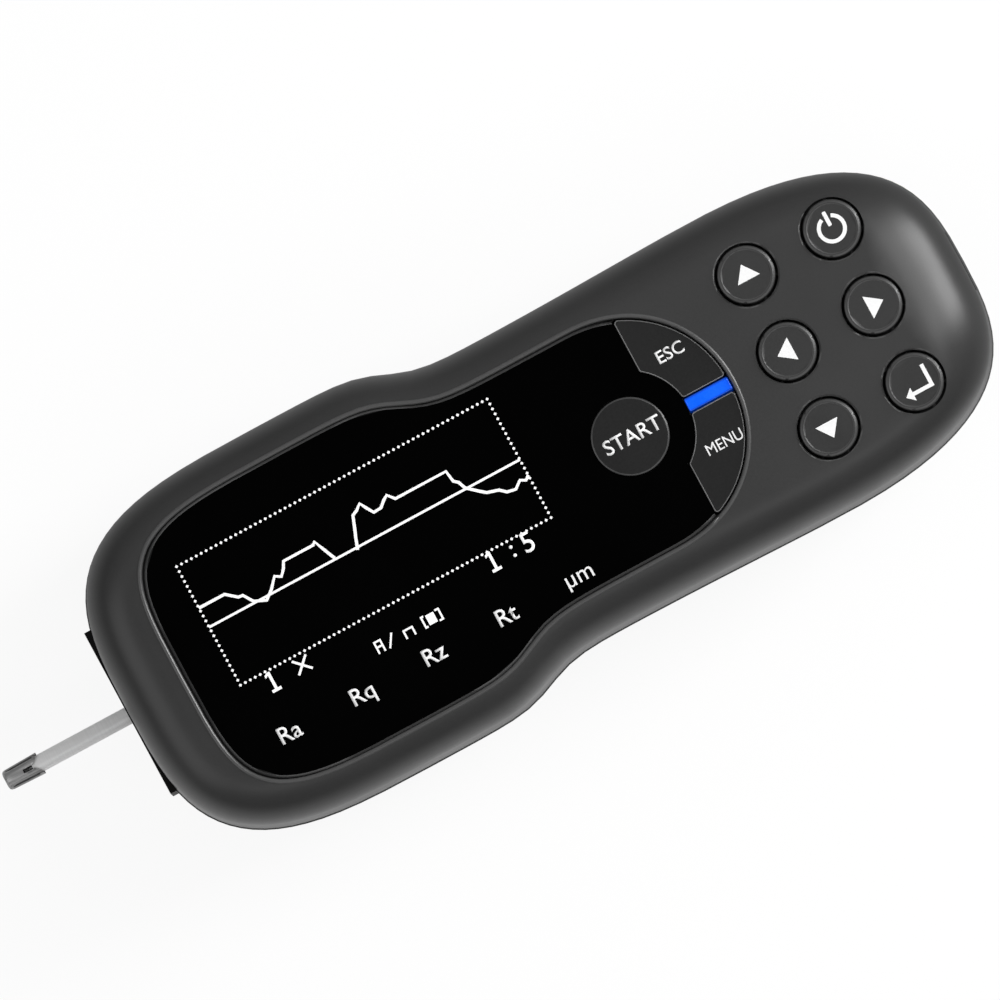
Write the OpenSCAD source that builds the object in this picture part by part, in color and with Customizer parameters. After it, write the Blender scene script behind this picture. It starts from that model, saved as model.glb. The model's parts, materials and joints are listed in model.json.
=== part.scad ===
// Surface roughness tester: a hand-held housing with a display window, keys and a pickup.
// The pickup stands out at the front (-x), the keypad is at the rear (+x), z is up.
// The flat base rests on z = 0 and the origin is the middle of the base. Sizes in mm.

/* [Housing] */
// length from the nose to the keypad end
body_len = 158; // [154:0.5:162]
// width across the display end
head_w = 63.5; // [62:0.1:66]
// width at the waist behind the display
waist_w = 53.6; // [52.6:0.1:55]
// width across the keypad
grip_w = 55; // [54:0.1:57]
// place of the neck along the length
neck_x = -14.6; // [-17:0.1:-11]
// softness of the neck's curve
neck_soft = 2.9; // [2.4:0.1:4.2]
// height of the parting line
part_z = 21; // [20.5:0.1:23]
// height of the deck above the base
deck_z = 45.2; // [44.6:0.1:49]
// wall thickness of the two shells
wall = 2.2; // [1.8:0.1:2.5]
// size of the top edge's rounding in plan
edge_in = 8.5; // [6.5:0.1:9.5]
// size of the top edge's rounding in height
edge_up = 12; // [9:0.5:14]
// extra rounding in plan of the top edge at the keypad end
tail_in = 5; // [0:0.1:5.5]
// size of the base edge's rounding in plan
base_in = 5; // [3.6:0.1:5.4]
// size of the base edge's rounding in height
base_up = 12; // [8:0.5:15]
// set-back of the cover from the rim of the case
rim_step = 0.2; // [0.1:0.05:0.5]
// height of the lip between the two shells
lip_h = 1.6; // [1:0.1:2.4]

/* [Display window] */
// distance from the nose to the window
window_front = 11.3; // [10:0.1:12]
// margin beside the window at the head
window_side = 6.2; // [5.6:0.1:7]
// margin beside the window at the waist
window_waist_side = 6.8; // [6.2:0.1:7.4]
// depth of the window's face below the deck
window_drop = 0.9; // [0.7:0.05:1.2]
// thickness of the window
window_t = 1.5; // [1:0.1:2]
// gap round the window
window_gap = 0.35; // [0.2:0.05:0.5]
// bevel on the window's edge
window_bevel = 0.4; // [0.2:0.05:0.6]
// length of the lit area of the display
display_w = 58.6; // [54:0.1:60]
// height of the lit area of the display
display_h = 29.3; // [26:0.1:30]
// distance from the nose to the middle of the lit area
display_front = 48.3; // [47:0.1:49]

/* [Window buttons] */
// distance from the keypad end to the middle of the START button
start_end = 62.7; // [62:0.1:63.4]
// radius of the START button
start_r = 6.55; // [6:0.05:7]
// distance from START's middle to the end of the window
window_nose = 19; // [18:0.1:20]
// inner radius of the two sector buttons
sector_r = 10.8; // [10:0.1:11.6]
// distance from START's middle to the straight edge of the sectors
sector_edge = 6.45; // [5.5:0.05:7]
// width of the indicator bar
bar_w = 2.4; // [1.8:0.1:3]
// gap round each button
button_gap = 0.25; // [0.2:0.05:0.35]
// height of the buttons above the window
button_rise = 0.4; // [0.2:0.05:0.6]

/* [Keys] */
// distance from the keypad end to the first key column
key_end = 33.1; // [32.4:0.1:33.6]
// distance between the two key columns
key_dx = 16.1; // [15.7:0.1:16.4]
// distance between the key rows
key_dy = 14.4; // [14:0.1:14.8]
// radius of a key
key_r = 4.85; // [4.4:0.05:5]
// gap round a key
key_gap = 0.45; // [0.3:0.05:0.5]
// height of a key above the deck
key_rise = 0.8; // [0.6:0.05:1.1]
// travel of keys and buttons
key_travel = 0.7; // [0.4:0.05:0.8]

/* [Pickup] */
// height of the pickup's axis above the base
pickup_z = 11; // [10.6:0.1:11.6]
// radius of the pickup tube
tube_r = 1.5; // [1.35:0.05:1.6]
// length of tube in front of the nose
tube_reach = 16.7; // [14:0.1:20]
// length of the tip guard
guard_len = 6.6; // [6:0.1:8]
// radius of the tip guard
guard_r = 1.95; // [1.85:0.05:2.2]
// taper of the guard's radius towards its tip
guard_taper = 0.17; // [0:0.01:0.25]
// radius of the pickup body
pickup_r = 4; // [3.7:0.1:4.2]
// length of the pickup body
pickup_len = 32; // [30:0.5:33]
// tracing travel of the pickup
travel = 17.5; // [12:0.5:18]
// radius of the stylus arm
arm_r = 0.45; // [0.35:0.05:0.5]

/* [Drive] */
// width of the front block
block_w = 30.3; // [28:0.1:32]
// depth of the front block
block_depth = 8.5; // [8:0.1:9]
// radius of the guide rods
rod_r = 1.5; // [1.2:0.05:1.7]
// distance of a guide rod from the middle plane
rod_y = 9.5; // [9:0.1:10]
// radius of the lead screw
screw_r = 2; // [1.7:0.05:2.2]
// height of the lead screw above the pickup's axis
screw_rise = 7.5; // [7.3:0.1:8]
// length of the carriage
carriage_len = 14; // [13:0.5:14.5]
// radius of the gear head
gear_head_r = 6; // [5.6:0.1:6.2]
// radius of the motor
motor_r = 5.5; // [5:0.1:6]
// length of the motor
motor_len = 15.4; // [12:0.1:18]
// length of the battery pack
battery_len = 50; // [44:0.5:52]
// width of the battery pack
battery_w = 31; // [27:0.5:31]
// height of the battery pack
battery_h = 9; // [7:0.1:9.2]

/* [Hidden] */
$fn = 64;
eps = 0.01;
// clearance between seated pieces
seat = 0.06;
// clearance of a shaft in its bearing
run = 0.05;
// clearance of a pressed or glued round fit
fit = 0.02;
// room of a screw in a hole that it only passes through
pass = 0.2;

// outline of the housing and of the window
cap_steps = 20;
mid_steps = 24;
nose_cap = 40;
tail_cap = 41.8;
nose_power = 3.3;
tail_power = 3;
grip_x = 45;
grip_spread = 26;
front_x = -body_len/2;
rear_x = body_len/2;
display_x = front_x + display_front;
start_x = rear_x - start_end;
key_x = rear_x - key_end;
window_x0 = front_x + window_front;
window_x1 = start_x + window_nose;

// half width of an outline that is w0 wide in front of the neck, w1 behind it and w2 at the grip
function half_at(x, w0, w1, w2) =
    w1/2
    + (w0 - w1)/2/(1 + exp((x - neck_x)/neck_soft))
    + (w2 - w1)/2*exp(-pow((x - grip_x)/grip_spread, 2));

// one long side from x0 to x1, with a superelliptic cap [length, power] at each end
function side_pts(x0, x1, c0, c1, w) = concat(
    [for (i = [0:cap_steps])
        let (t = 90*i/cap_steps, x = x0 + c0[0]*(1 - pow(cos(t), 2/c0[1])))
        [x, half_at(x, w[0], w[1], w[2])*pow(sin(t), 2/c0[1])]],
    [for (i = [1:mid_steps - 1])
        let (x = x0 + c0[0] + (x1 - c1[0] - x0 - c0[0])*i/mid_steps)
        [x, half_at(x, w[0], w[1], w[2])]],
    [for (i = [0:cap_steps])
        let (t = 90 - 90*i/cap_steps, x = x1 - c1[0]*(1 - pow(cos(t), 2/c1[1])))
        [x, half_at(x, w[0], w[1], w[2])*pow(sin(t), 2/c1[1])]]);

// a side and its mirror image as one closed loop
function closed_loop(side) = concat(
    side, [for (i = [len(side) - 2:-1:1]) [side[i][0], -side[i][1]]]);

// outward normal of a loop at point i
function normal_at(loop, i) =
    let (n = len(loop), d = loop[(i + 1)%n] - loop[(i + n - 1)%n])
    [-d[1], d[0]]/norm(d);

// a loop moved inward by d, and by up to tail more where it faces the keypad end
function inset_loop(loop, d, tail = 0) =
    [for (i = [0:len(loop) - 1])
        let (n = normal_at(loop, i))
        loop[i] - (d + tail*pow(max(0, n[0]), 3))*n];

body_loop = closed_loop(side_pts(front_x, rear_x, [nose_cap, nose_power],
    [tail_cap, tail_power], [head_w, waist_w, grip_w]));
window_waist = waist_w - 2*window_waist_side;
window_loop = closed_loop(side_pts(window_x0, window_x1, [32, 4.2], [21, 2.1],
    [head_w - 2*window_side, window_waist, window_waist]));

// solid with one ring for each [inset, height, tail inset] of the profile, closed at both ends
module ring_solid(loop, profile) {
    n = len(loop);
    rings = len(profile);
    last = (rings - 1)*n;
    points = [for (r = profile)
        let (tail = len(r) > 2 ? r[2] : 0)
        each [for (p = inset_loop(loop, r[0], tail)) [p[0], p[1], r[1]]]];
    sides = [for (k = [0:rings - 2], i = [0:n - 1])
        let (j = (i + 1)%n, a = k*n + i, b = k*n + j)
        each [[a, b, b + n], [a, b + n, a + n]]];
    bottom = [for (i = [n - 1:-1:0]) i];
    top = [for (i = [0:n - 1]) i + last];
    polyhedron(points, concat([bottom], sides, [top]));
}

// profiles of the two shells
edge_power = 2.3;
draft = 0.3;
floor_t = wall + 0.2;
lip_in = rim_step + 0.9;
lip_gap = 0.1;
edge_z = deck_z - edge_up;
outer_steps = 9;
inner_steps = 5;

function quarter(i, steps) = 90*i/steps;
function bulge_in(size, t) = size*(1 - pow(cos(t), 2/edge_power));
function bulge_up(size, t) = size*pow(sin(t), 2/edge_power);

cover_profile = concat(
    [for (i = [inner_steps:-1:0]) let (t = quarter(i, inner_steps))
        [rim_step + draft + wall + bulge_in(edge_in - wall, t),
            edge_z + bulge_up(edge_up - floor_t, t)]],
    [[rim_step + wall, part_z + lip_h + lip_gap],
        [lip_in - lip_gap, part_z + lip_h + lip_gap],
        [lip_in - lip_gap, part_z + seat],
        [rim_step, part_z + seat]],
    [for (i = [0:outer_steps]) let (t = quarter(i, outer_steps))
        [rim_step + draft + bulge_in(edge_in, t), edge_z + bulge_up(edge_up, t),
            bulge_in(tail_in, t)]]);

case_profile = concat(
    [for (i = [outer_steps - 2:-1:0]) let (t = quarter(i, outer_steps - 2))
        [draft + bulge_in(base_in, t), base_up - bulge_up(base_up, t)]],
    [[0, part_z], [lip_in, part_z], [lip_in, part_z + lip_h], [rim_step + wall, part_z + lip_h]],
    [for (i = [0:inner_steps]) let (t = quarter(i, inner_steps))
        [draft + wall + bulge_in(base_in - wall, t),
            base_up - bulge_up(base_up - floor_t, t)]]);

// heights of the deck group
deck_in = deck_z - floor_t;
window_z1 = deck_z - window_drop;
window_z0 = window_z1 - window_t;
shelf_z = window_z0 - seat - 1.6;
shelf_rim = 1.6;
button_top = window_z1 + button_rise;
key_top = deck_z + key_rise;
display_z1 = shelf_z - 0.1;
glass_t = 1.1;
board_t = 1.6;
board_z1 = display_z1 - 6;
board_z0 = board_z1 - board_t;
mat_t = 1;
dome_h = 1.2;
stem_r = 1.6;
stem_z = board_z1 + seat + mat_t + dome_h + key_travel + 0.1;
flange_t = 1;
flange_out = 0.85;
// room round a key's flange below the deck
flange_room = 0.4;
// chamfer on the edge of a key's hole
key_chamfer = 0.3;
// flare of the cover's lip round the window
lip_flare = 0.45;
// depth of the room below the deck that a key's flange moves in
flange_deep = seat + flange_t + key_travel + 1.2;
corner_r = 0.6;
bar_half = bar_w/2;
bar_x0 = start_x + sector_r - 0.1;
bar_x1 = window_x1 - button_gap;
sector_x = start_x + sector_edge;
key_hole_r = key_r + key_gap;
key_flange_r = key_hole_r + 0.6;
key_cols = [key_x, key_x + key_dx];
display_y = 1.9;
module_w = 66;
module_h = 33;
module_y = 1;
// thickness of the chips below the main board, and place and size of each
chip_t = 1.4;
chips = [[display_x, 0, 14, 14], [display_x + 20, 4, 10, 8], [start_x, -12, 7, 7],
    [key_x - 8, 3, 9, 6]];
// distance of the key mat from the outline
mat_in = 9;

// places of the screws
case_bosses = [for (s = [-1, 1]) each [[front_x + 22, s*(head_w/2 - 10)],
    [key_x + key_dx/2, s*(grip_w/2 - 8.5)]]];
boss_r = 2.7;
// depth of the bosses' and posts' roots in the deck
boss_root = 0.8;
column_r = 3.3;
head_hole_r = 2.3;
case_screw_r = 1.2;
case_head_r = 2.1;
case_head_h = 1.6;
case_seat_z = 13;
// length of a case screw in the cover's boss
case_bite = 8;
post_r = 2.3;
// room between the display module and the posts behind it
post_room = 1.9;
board_posts = [for (s = [-1, 1]) each [[front_x + 31, s*(head_w/2 - 9.7)],
    [display_x + module_w/2 + post_r + post_room, s*15], [key_x + key_dx/2, s*key_dy/2]]];
small_screw_r = 0.8;
small_head_r = 1.7;
small_head_h = 1.2;
// length of a small screw in its post
small_bite = 3.5;

// socket at the keypad end
socket_w = 7.7;
socket_h = 3.9;
socket_len = 9;
socket_x1 = rear_x - 3.4;
socket_z = board_z0 - seat - socket_h/2;
plug_w = 11;
plug_h = 7;

// drive, counted from the nose
block_z0 = 3.3;
block_z1 = part_z - seat;
block_wall = 2.2;
port_r = pickup_r + 0.6;
frame_x0 = front_x + block_depth + 0.2;
frame_z0 = floor_t + 1.7;
frame_t = 2;
frame_z1 = frame_z0 + frame_t;
frame_half = rod_y + 4;
wall_t = 3;
screw_z = pickup_z + screw_rise;
bearing_r = 3;
journal_r = screw_r - 0.5;
frame_top = screw_z + bearing_r + 2;
pickup_x0 = front_x + 7;
pickup_x1 = pickup_x0 + pickup_len;
carriage_x0 = pickup_x1 + 1;
carriage_x1 = carriage_x0 + carriage_len;
carriage_z0 = frame_z1 + 0.6;
nut_r = screw_r + 1.8;
nut_len = 9;
carriage_z1 = screw_z + nut_r + 1.2;
bush_r = rod_r + 1;
socket_r = 3.3;
plug_r = 2.6;
plug_len = 7;
switch_len = 3.2;
rear_wall_x = carriage_x1 + travel + switch_len + 0.8;
coupling_x0 = rear_wall_x + wall_t + 1;
coupling_len = 9;
coupling_r = 3.3;
shaft_r = 1;
plate_x = coupling_x0 + coupling_len + 1.6;
plate_t = 2.5;
gear_head_x = plate_x + plate_t + seat;
gear_head_len = 9.5;
motor_x = gear_head_x + gear_head_len + seat;
frame_x1 = plate_x + plate_t;
frame_holes = [for (s = [-1, 1]) each [[frame_x0 + wall_t + 5, s*rod_y],
    [rear_wall_x + wall_t + 5, s*rod_y]]];
pad_r = 3;
frame_screw_z = 1.4;
motor_screw_y = coupling_r + 1.1;
motor_screw_r = 0.5;
motor_head_r = 0.95;
motor_head_h = 1;
motor_screw_len = 5.5;
battery_x0 = frame_x1 + 2;
battery_z = floor_t + seat;

// pickup, counted from the nose
guard_x1 = front_x - tube_reach;
guard_x0 = guard_x1 - guard_len;
guard_wall = 1.1;
guard_tip_r = guard_r - guard_taper;
tube_in = tube_r - 0.45;
tube_x0 = guard_x1 - 1.5;
tube_seat = 4;
pivot_x = pickup_x0 + 8;
pivot_r = 0.5;
hub_r = 0.95;
tip_x = guard_x0 + 3.1;
skid_r = 1;
skid_z = pickup_z - guard_r - 0.45;
tip_z = skid_z - 0.1;
tip_top = pickup_z - guard_r + 0.2;
cavity_r = pickup_r - 1.2;
// magnetic end of the stylus arm inside the coil
armature_x = pickup_x0 + 15;
armature_len = 9;
armature_r = 0.9;
coil_x = armature_x + 1;
coil_len = 8;
coil_in = armature_r + 0.8;

charcoal = [0.24, 0.24, 0.25];
dark = [0.1, 0.1, 0.11];
black = [0.04, 0.04, 0.05];
key_grey = [0.18, 0.18, 0.19];
metal = [0.72, 0.73, 0.75];
dull_metal = [0.45, 0.46, 0.48];
gold = [0.8, 0.64, 0.3];
green = [0.1, 0.36, 0.2];
rubber_grey = [0.5, 0.5, 0.52];

// turns children from the z axis onto the x axis at height z
module along_x(x, z = pickup_z, y = 0) {
    translate([x, y, z]) rotate([0, 90, 0]) children();
}

// stepped solid of revolution from [radius, height] pairs
module turned(profile) {
    rotate_extrude() polygon(profile);
}

// plan of the +y sector button, grown by d
module sector_plan(d = 0) {
    offset(r = corner_r) offset(delta = d - corner_r) difference() {
        intersection() {
            polygon(inset_loop(window_loop, button_gap));
            translate([sector_x, bar_half + button_gap]) square(40);
        }
        translate([start_x, 0]) circle(sector_r);
    }
}

// part of the window's plan that the window itself fills
module window_plan() {
    circle_r = sector_r - button_gap;
    translate([start_x, 0]) circle(circle_r);
    translate([window_x0 - 1, -head_w/2]) square([sector_x - button_gap - window_x0 + 1, head_w]);
}

module top_cover() {
    color(charcoal) difference() {
        union() {
            ring_solid(body_loop, cover_profile);
            translate([0, 0, shelf_z]) linear_extrude(deck_in - shelf_z + 0.6)
                polygon(inset_loop(window_loop, -shelf_rim));
            for (p = case_bosses) translate([p[0], p[1], part_z + seat])
                cylinder(r = boss_r, h = deck_in - part_z - seat + boss_root);
            for (p = board_posts) translate([p[0], p[1], board_z1 + seat])
                cylinder(r = post_r, h = deck_in - board_z1 - seat + boss_root);
        }
        ring_solid(window_loop, [[0, window_z0 - seat], [0, window_z1 + 0.1],
            [-lip_flare, deck_z], [-lip_flare, deck_z + 1]]);
        translate([display_x - display_w/2 - 1, display_y - display_h/2 - 1, shelf_z - 1])
            cube([display_w + 2, display_h + 2, 4]);
        translate([start_x, 0, shelf_z - 1]) cylinder(r = start_r + 2*button_gap, h = 4);
        translate([0, 0, shelf_z - 1]) linear_extrude(4) {
            sector_plan(button_gap);
            mirror([0, 1]) sector_plan(button_gap);
            translate([bar_x0 - 0.1, -bar_half - button_gap - corner_r])
                square([bar_x1 - bar_x0 + 0.2, bar_w + 2*button_gap + 2*corner_r]);
        }
        for (x = key_cols, y = [-key_dy, 0, key_dy]) translate([x, y, 0]) turned([
            [0, deck_in - flange_deep], [key_flange_r + flange_room, deck_in - flange_deep],
            [key_flange_r + flange_room, deck_in + seat], [key_hole_r, deck_in + seat],
            [key_hole_r, deck_z - key_chamfer], [key_hole_r + 1, deck_z - key_chamfer + 1],
            [0, deck_z - key_chamfer + 1]]);
        for (p = case_bosses) translate([p[0], p[1], part_z - 1])
            cylinder(r = case_screw_r + run, h = case_bite + 4);
        for (p = board_posts) translate([p[0], p[1], board_z1 - 1])
            cylinder(r = small_screw_r + run, h = small_bite + 1.5);
        translate([rear_x - 5, -plug_w/2, socket_z - plug_h/2]) cube([10, plug_w, plug_h]);
    }
}

module lower_case() {
    color(dark) difference() {
        union() {
            ring_solid(body_loop, case_profile);
            for (p = case_bosses) translate([p[0], p[1], floor_t/2])
                cylinder(r = column_r, h = part_z - floor_t/2 - seat);
            for (p = frame_holes) translate([p[0], p[1], floor_t/2])
                cylinder(r = pad_r, h = frame_z0 - floor_t/2 - seat);
            translate([battery_x0 - 1.6, -battery_w/3, floor_t/2]) cube([1.4, battery_w*2/3, 5]);
            translate([battery_x0 + battery_len + 0.2, -battery_w/3, floor_t/2])
                cube([1.4, battery_w*2/3, 5]);
        }
        translate([front_x - 1, -block_w/2 - seat, block_z0 - seat])
            cube([block_depth + 1.2, block_w + 2*seat, part_z]);
        for (p = case_bosses) translate([p[0], p[1], -1]) {
            cylinder(r = head_hole_r, h = case_seat_z + 1);
            cylinder(r = case_screw_r + pass, h = part_z + 4);
        }
        for (p = frame_holes) translate([p[0], p[1], 1])
            cylinder(r = small_screw_r + run, h = frame_z0);
    }
}

module front_block() {
    color(black) difference() {
        translate([front_x, -block_w/2, block_z0])
            cube([block_depth, block_w, block_z1 - block_z0]);
        translate([front_x + block_wall, -block_w/2 + block_wall, block_z0 + block_wall])
            cube([block_depth, block_w - 2*block_wall, block_z1 - block_z0 - 2*block_wall]);
        along_x(front_x - 1) cylinder(r = port_r, h = block_depth);
        along_x(front_x - eps) cylinder(r1 = port_r + 0.5, r2 = port_r, h = 0.5);
    }
}

module display_window() {
    color(black) difference() {
        intersection() {
            ring_solid(window_loop, [[window_gap, window_z0], [window_gap, window_z1 - window_bevel],
                [window_gap + window_bevel, window_z1]]);
            translate([0, 0, window_z0 - 1]) linear_extrude(window_t + 2) window_plan();
        }
        translate([start_x, 0, window_z0 - 1]) cylinder(r = start_r + button_gap, h = window_t + 2);
    }
}

module indicator_bar() {
    color([0.05, 0.3, 1]) translate([bar_x0, -bar_half, board_z1 + 1.5])
        cube([bar_x1 - bar_x0, bar_w, button_top - 0.1 - board_z1 - 1.5]);
}

module start_button() {
    flange_z = shelf_z - seat;
    color(key_grey) translate([start_x, 0, 0]) turned([[0, stem_z], [stem_r, stem_z],
        [stem_r, flange_z - flange_t], [start_r + 2*button_gap + flange_out, flange_z - flange_t],
        [start_r + 2*button_gap + flange_out, flange_z], [start_r, flange_z],
        [start_r, button_top - 0.3], [start_r - 0.1, button_top - 0.1],
        [start_r - 0.3, button_top], [0, button_top]]);
}

// middle of a sector button's stem
sector_stem = [start_x + 12.2, 9.4];

module sector_button() {
    flange_z = shelf_z - seat;
    color(key_grey) {
        translate([0, 0, flange_z - eps]) linear_extrude(button_top - flange_z + eps) sector_plan();
        translate([0, 0, flange_z - flange_t]) linear_extrude(flange_t) intersection() {
            sector_plan(button_gap + flange_out);
            translate([start_x, bar_half + button_gap]) square(40);
        }
        translate([sector_stem[0], sector_stem[1], stem_z])
            cylinder(r = stem_r, h = flange_z - stem_z - eps);
    }
}

module esc_button() {
    sector_button();
}

module menu_button() {
    mirror([0, 1, 0]) sector_button();
}

// round key in column c and row r
module round_key(c, r) {
    flange_z = deck_in - seat;
    color(key_grey) translate([key_cols[c], r*key_dy, 0]) turned([[0, stem_z], [stem_r, stem_z],
        [stem_r, flange_z - flange_t], [key_flange_r, flange_z - flange_t],
        [key_flange_r, flange_z], [key_r, flange_z], [key_r, key_top - 0.5],
        [key_r - 0.15, key_top - 0.15], [key_r - 0.5, key_top], [0, key_top]]);
}

module up_key() {
    round_key(0, 1);
}

module left_key() {
    round_key(0, 0);
}

module down_key() {
    round_key(0, -1);
}

module power_key() {
    round_key(1, 1);
}

module right_key() {
    round_key(1, 0);
}

module enter_key() {
    round_key(1, -1);
}

module display_module() {
    color(dull_metal) translate([display_x - module_w/2, module_y - module_h/2, board_z1 + seat])
        cube([module_w, module_h, display_z1 - board_z1 - glass_t - 2*seat]);
}

module display_glass() {
    glass_y0 = module_y - module_h/2 + 0.2;
    color(dark) translate([display_x - display_w/2 - 2, glass_y0, display_z1 - glass_t])
        cube([display_w + 4, module_h - 0.4, glass_t]);
}

module main_board() {
    color(green) translate([0, 0, board_z0]) linear_extrude(board_t) difference() {
        polygon(inset_loop(body_loop, rim_step + draft + wall + 1.2));
        for (p = case_bosses) translate(p) circle(boss_r + 0.5);
        for (p = board_posts) translate(p) circle(small_screw_r + pass);
    }
}

module board_chips() {
    color(black) for (c = chips) translate([c[0], c[1], board_z0 - seat - chip_t])
        cube([c[2], c[3], chip_t]);
}

module indicator_lamp() {
    color([0.9, 0.9, 0.85]) translate([(bar_x0 + bar_x1)/2 - 1.5, -0.9, board_z1 + seat])
        cube([3, 1.8, 1.2]);
}

// dome places of the key mat
dome_places = concat([[start_x, 0], sector_stem, [sector_stem[0], -sector_stem[1]]],
    [for (x = key_cols, y = [-key_dy, 0, key_dy]) [x, y]]);

module key_mat() {
    color(rubber_grey) translate([0, 0, board_z1 + seat]) difference() {
        union() {
            linear_extrude(mat_t) difference() {
                intersection() {
                    polygon(inset_loop(body_loop, mat_in));
                    translate([start_x - 6, -head_w/2]) square([body_len, head_w]);
                }
                for (p = board_posts) translate(p) circle(post_r + 0.4);
                for (p = case_bosses) translate(p) circle(boss_r + 0.6);
                translate([bar_x0 - 0.5, -bar_half - 0.5]) square([bar_x1 - bar_x0 + 1, bar_w + 1]);
            }
            for (p = dome_places) translate([p[0], p[1], mat_t - eps])
                cylinder(r1 = 3, r2 = 2, h = dome_h + eps);
        }
        for (p = dome_places) translate([p[0], p[1], -eps])
            cylinder(r1 = 2.6, r2 = 1.2, h = mat_t + 0.5);
    }
}

module usb_socket() {
    color(metal) translate([socket_x1 - socket_len, 0, socket_z]) {
        difference() {
            translate([0, -socket_w/2, -socket_h/2]) cube([socket_len, socket_w, socket_h]);
            translate([2, -socket_w/2 + 0.4, -socket_h/2 + 0.4])
                cube([socket_len, socket_w - 0.8, socket_h - 0.8]);
        }
        translate([2 - eps, -socket_w/2 + 1.3, -0.2]) cube([socket_len - 3, socket_w - 2.6, 0.8]);
    }
}

module battery_pack() {
    color([0.2, 0.3, 0.5]) translate([battery_x0, -battery_w/2, battery_z])
        cube([battery_len, battery_w, battery_h]);
}

module drive_frame() {
    bore_len = rear_wall_x + wall_t + 2 - frame_x0;
    color(metal) difference() {
        union() {
            translate([frame_x0, -frame_half, frame_z0])
                cube([frame_x1 - frame_x0, 2*frame_half, frame_t]);
            translate([frame_x0, -frame_half, frame_z0])
                cube([wall_t, 2*frame_half, frame_top - frame_z0]);
            translate([rear_wall_x, -frame_half, frame_z0])
                cube([wall_t, 2*frame_half, frame_top - frame_z0]);
            translate([plate_x, -gear_head_r - 1, frame_z0])
                cube([plate_t, 2*gear_head_r + 2, screw_z + gear_head_r + 0.6 - frame_z0]);
        }
        along_x(frame_x0 - 1) cylinder(r = port_r, h = wall_t + 2);
        for (s = [-1, 1]) along_x(frame_x0 - 1, pickup_z, s*rod_y)
            cylinder(r = rod_r + fit, h = bore_len);
        along_x(frame_x0 - 1, screw_z) cylinder(r = bearing_r + fit, h = bore_len);
        along_x(plate_x - 1, screw_z) cylinder(r = shaft_r + 1, h = plate_t + 2);
        for (s = [-1, 1]) along_x(plate_x - 1, screw_z, s*motor_screw_y)
            cylinder(r = motor_screw_r + run, h = plate_t + 2);
        for (p = frame_holes) translate([p[0], p[1], frame_z0 - 1])
            cylinder(r = small_screw_r + pass, h = frame_t + 2);
    }
}

module guide_rods() {
    color(metal) for (s = [-1, 1]) along_x(frame_x0 + 0.5, pickup_z, s*rod_y)
        cylinder(r = rod_r, h = rear_wall_x + wall_t - frame_x0 - 1);
}

module screw_bearings() {
    color(gold) for (x = [frame_x0, rear_wall_x]) along_x(x, screw_z)
        turned([[journal_r + run, 0], [bearing_r, 0], [bearing_r, wall_t], [journal_r + run, wall_t]]);
}

module lead_screw() {
    thread_x0 = frame_x0 + wall_t + 0.4;
    color(metal) along_x(frame_x0 + 0.3, screw_z) turned([[0, 0], [journal_r, 0],
        [journal_r, thread_x0 - frame_x0 - 0.3], [screw_r, thread_x0 - frame_x0 - 0.3],
        [screw_r, rear_wall_x - 0.7 - frame_x0], [journal_r, rear_wall_x - 0.7 - frame_x0],
        [journal_r, coupling_x0 + 4 - frame_x0 - 0.3], [0, coupling_x0 + 4 - frame_x0 - 0.3]]);
}

module shaft_coupling() {
    color(dull_metal) along_x(coupling_x0, screw_z) turned([[journal_r + fit, 0], [coupling_r, 0],
        [coupling_r, coupling_len], [shaft_r + fit, coupling_len], [shaft_r + fit, 4.5],
        [journal_r + fit, 4.5]]);
}

module motor_shaft() {
    color(metal) along_x(coupling_x0 + 5, screw_z)
        cylinder(r = shaft_r, h = gear_head_x + 3 - coupling_x0 - 5);
}

module gear_head() {
    color(gold) difference() {
        along_x(gear_head_x, screw_z) turned([[shaft_r + run, 0], [gear_head_r, 0],
            [gear_head_r, gear_head_len], [0, gear_head_len], [0, 4], [shaft_r + run, 4]]);
        for (s = [-1, 1]) along_x(gear_head_x - 1, screw_z, s*motor_screw_y)
            cylinder(r = motor_screw_r + run, h = 4);
    }
}

module drive_motor() {
    color(metal) along_x(motor_x, screw_z) cylinder(r = motor_r, h = motor_len);
}

module limit_switches() {
    color(black) for (x = [carriage_x0 - switch_len - 0.4, rear_wall_x - switch_len - 0.1])
        translate([x, -rod_y - 2.5, frame_z1 + seat]) cube([switch_len, 5, 2.4]);
}

module carriage() {
    half = bush_r + rod_y + 1;
    color(dull_metal) difference() {
        translate([carriage_x0, -half, carriage_z0])
            cube([carriage_len, 2*half, carriage_z1 - carriage_z0]);
        for (s = [-1, 1]) along_x(carriage_x0 - 1, pickup_z, s*rod_y)
            cylinder(r = bush_r + fit, h = carriage_len + 2);
        along_x(carriage_x0 - 1, screw_z) cylinder(r = screw_r + 0.4, h = carriage_len + 2);
        along_x(carriage_x1 - nut_len - seat, screw_z) cylinder(r = nut_r + fit, h = nut_len + 2);
        along_x(carriage_x0 - 1) cylinder(r = socket_r + fit, h = 10);
    }
}

module carriage_bushes() {
    color(gold) for (s = [-1, 1]) along_x(carriage_x0, pickup_z, s*rod_y)
        turned([[rod_r + run, 0], [bush_r, 0], [bush_r, carriage_len], [rod_r + run, carriage_len]]);
}

module screw_nut() {
    color(gold) along_x(carriage_x1 - nut_len, screw_z)
        turned([[screw_r + 0.1, 0], [nut_r, 0], [nut_r, nut_len], [screw_r + 0.1, nut_len]]);
}

module pickup_socket() {
    color(black) along_x(carriage_x0) turned([[plug_r + run, 0], [socket_r, 0], [socket_r, 8.9],
        [0, 8.9], [0, 7.4], [plug_r + run, 7.4]]);
}

module pickup_plug() {
    color(gold) along_x(pickup_x1 + seat) cylinder(r = plug_r, h = plug_len);
}

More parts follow.
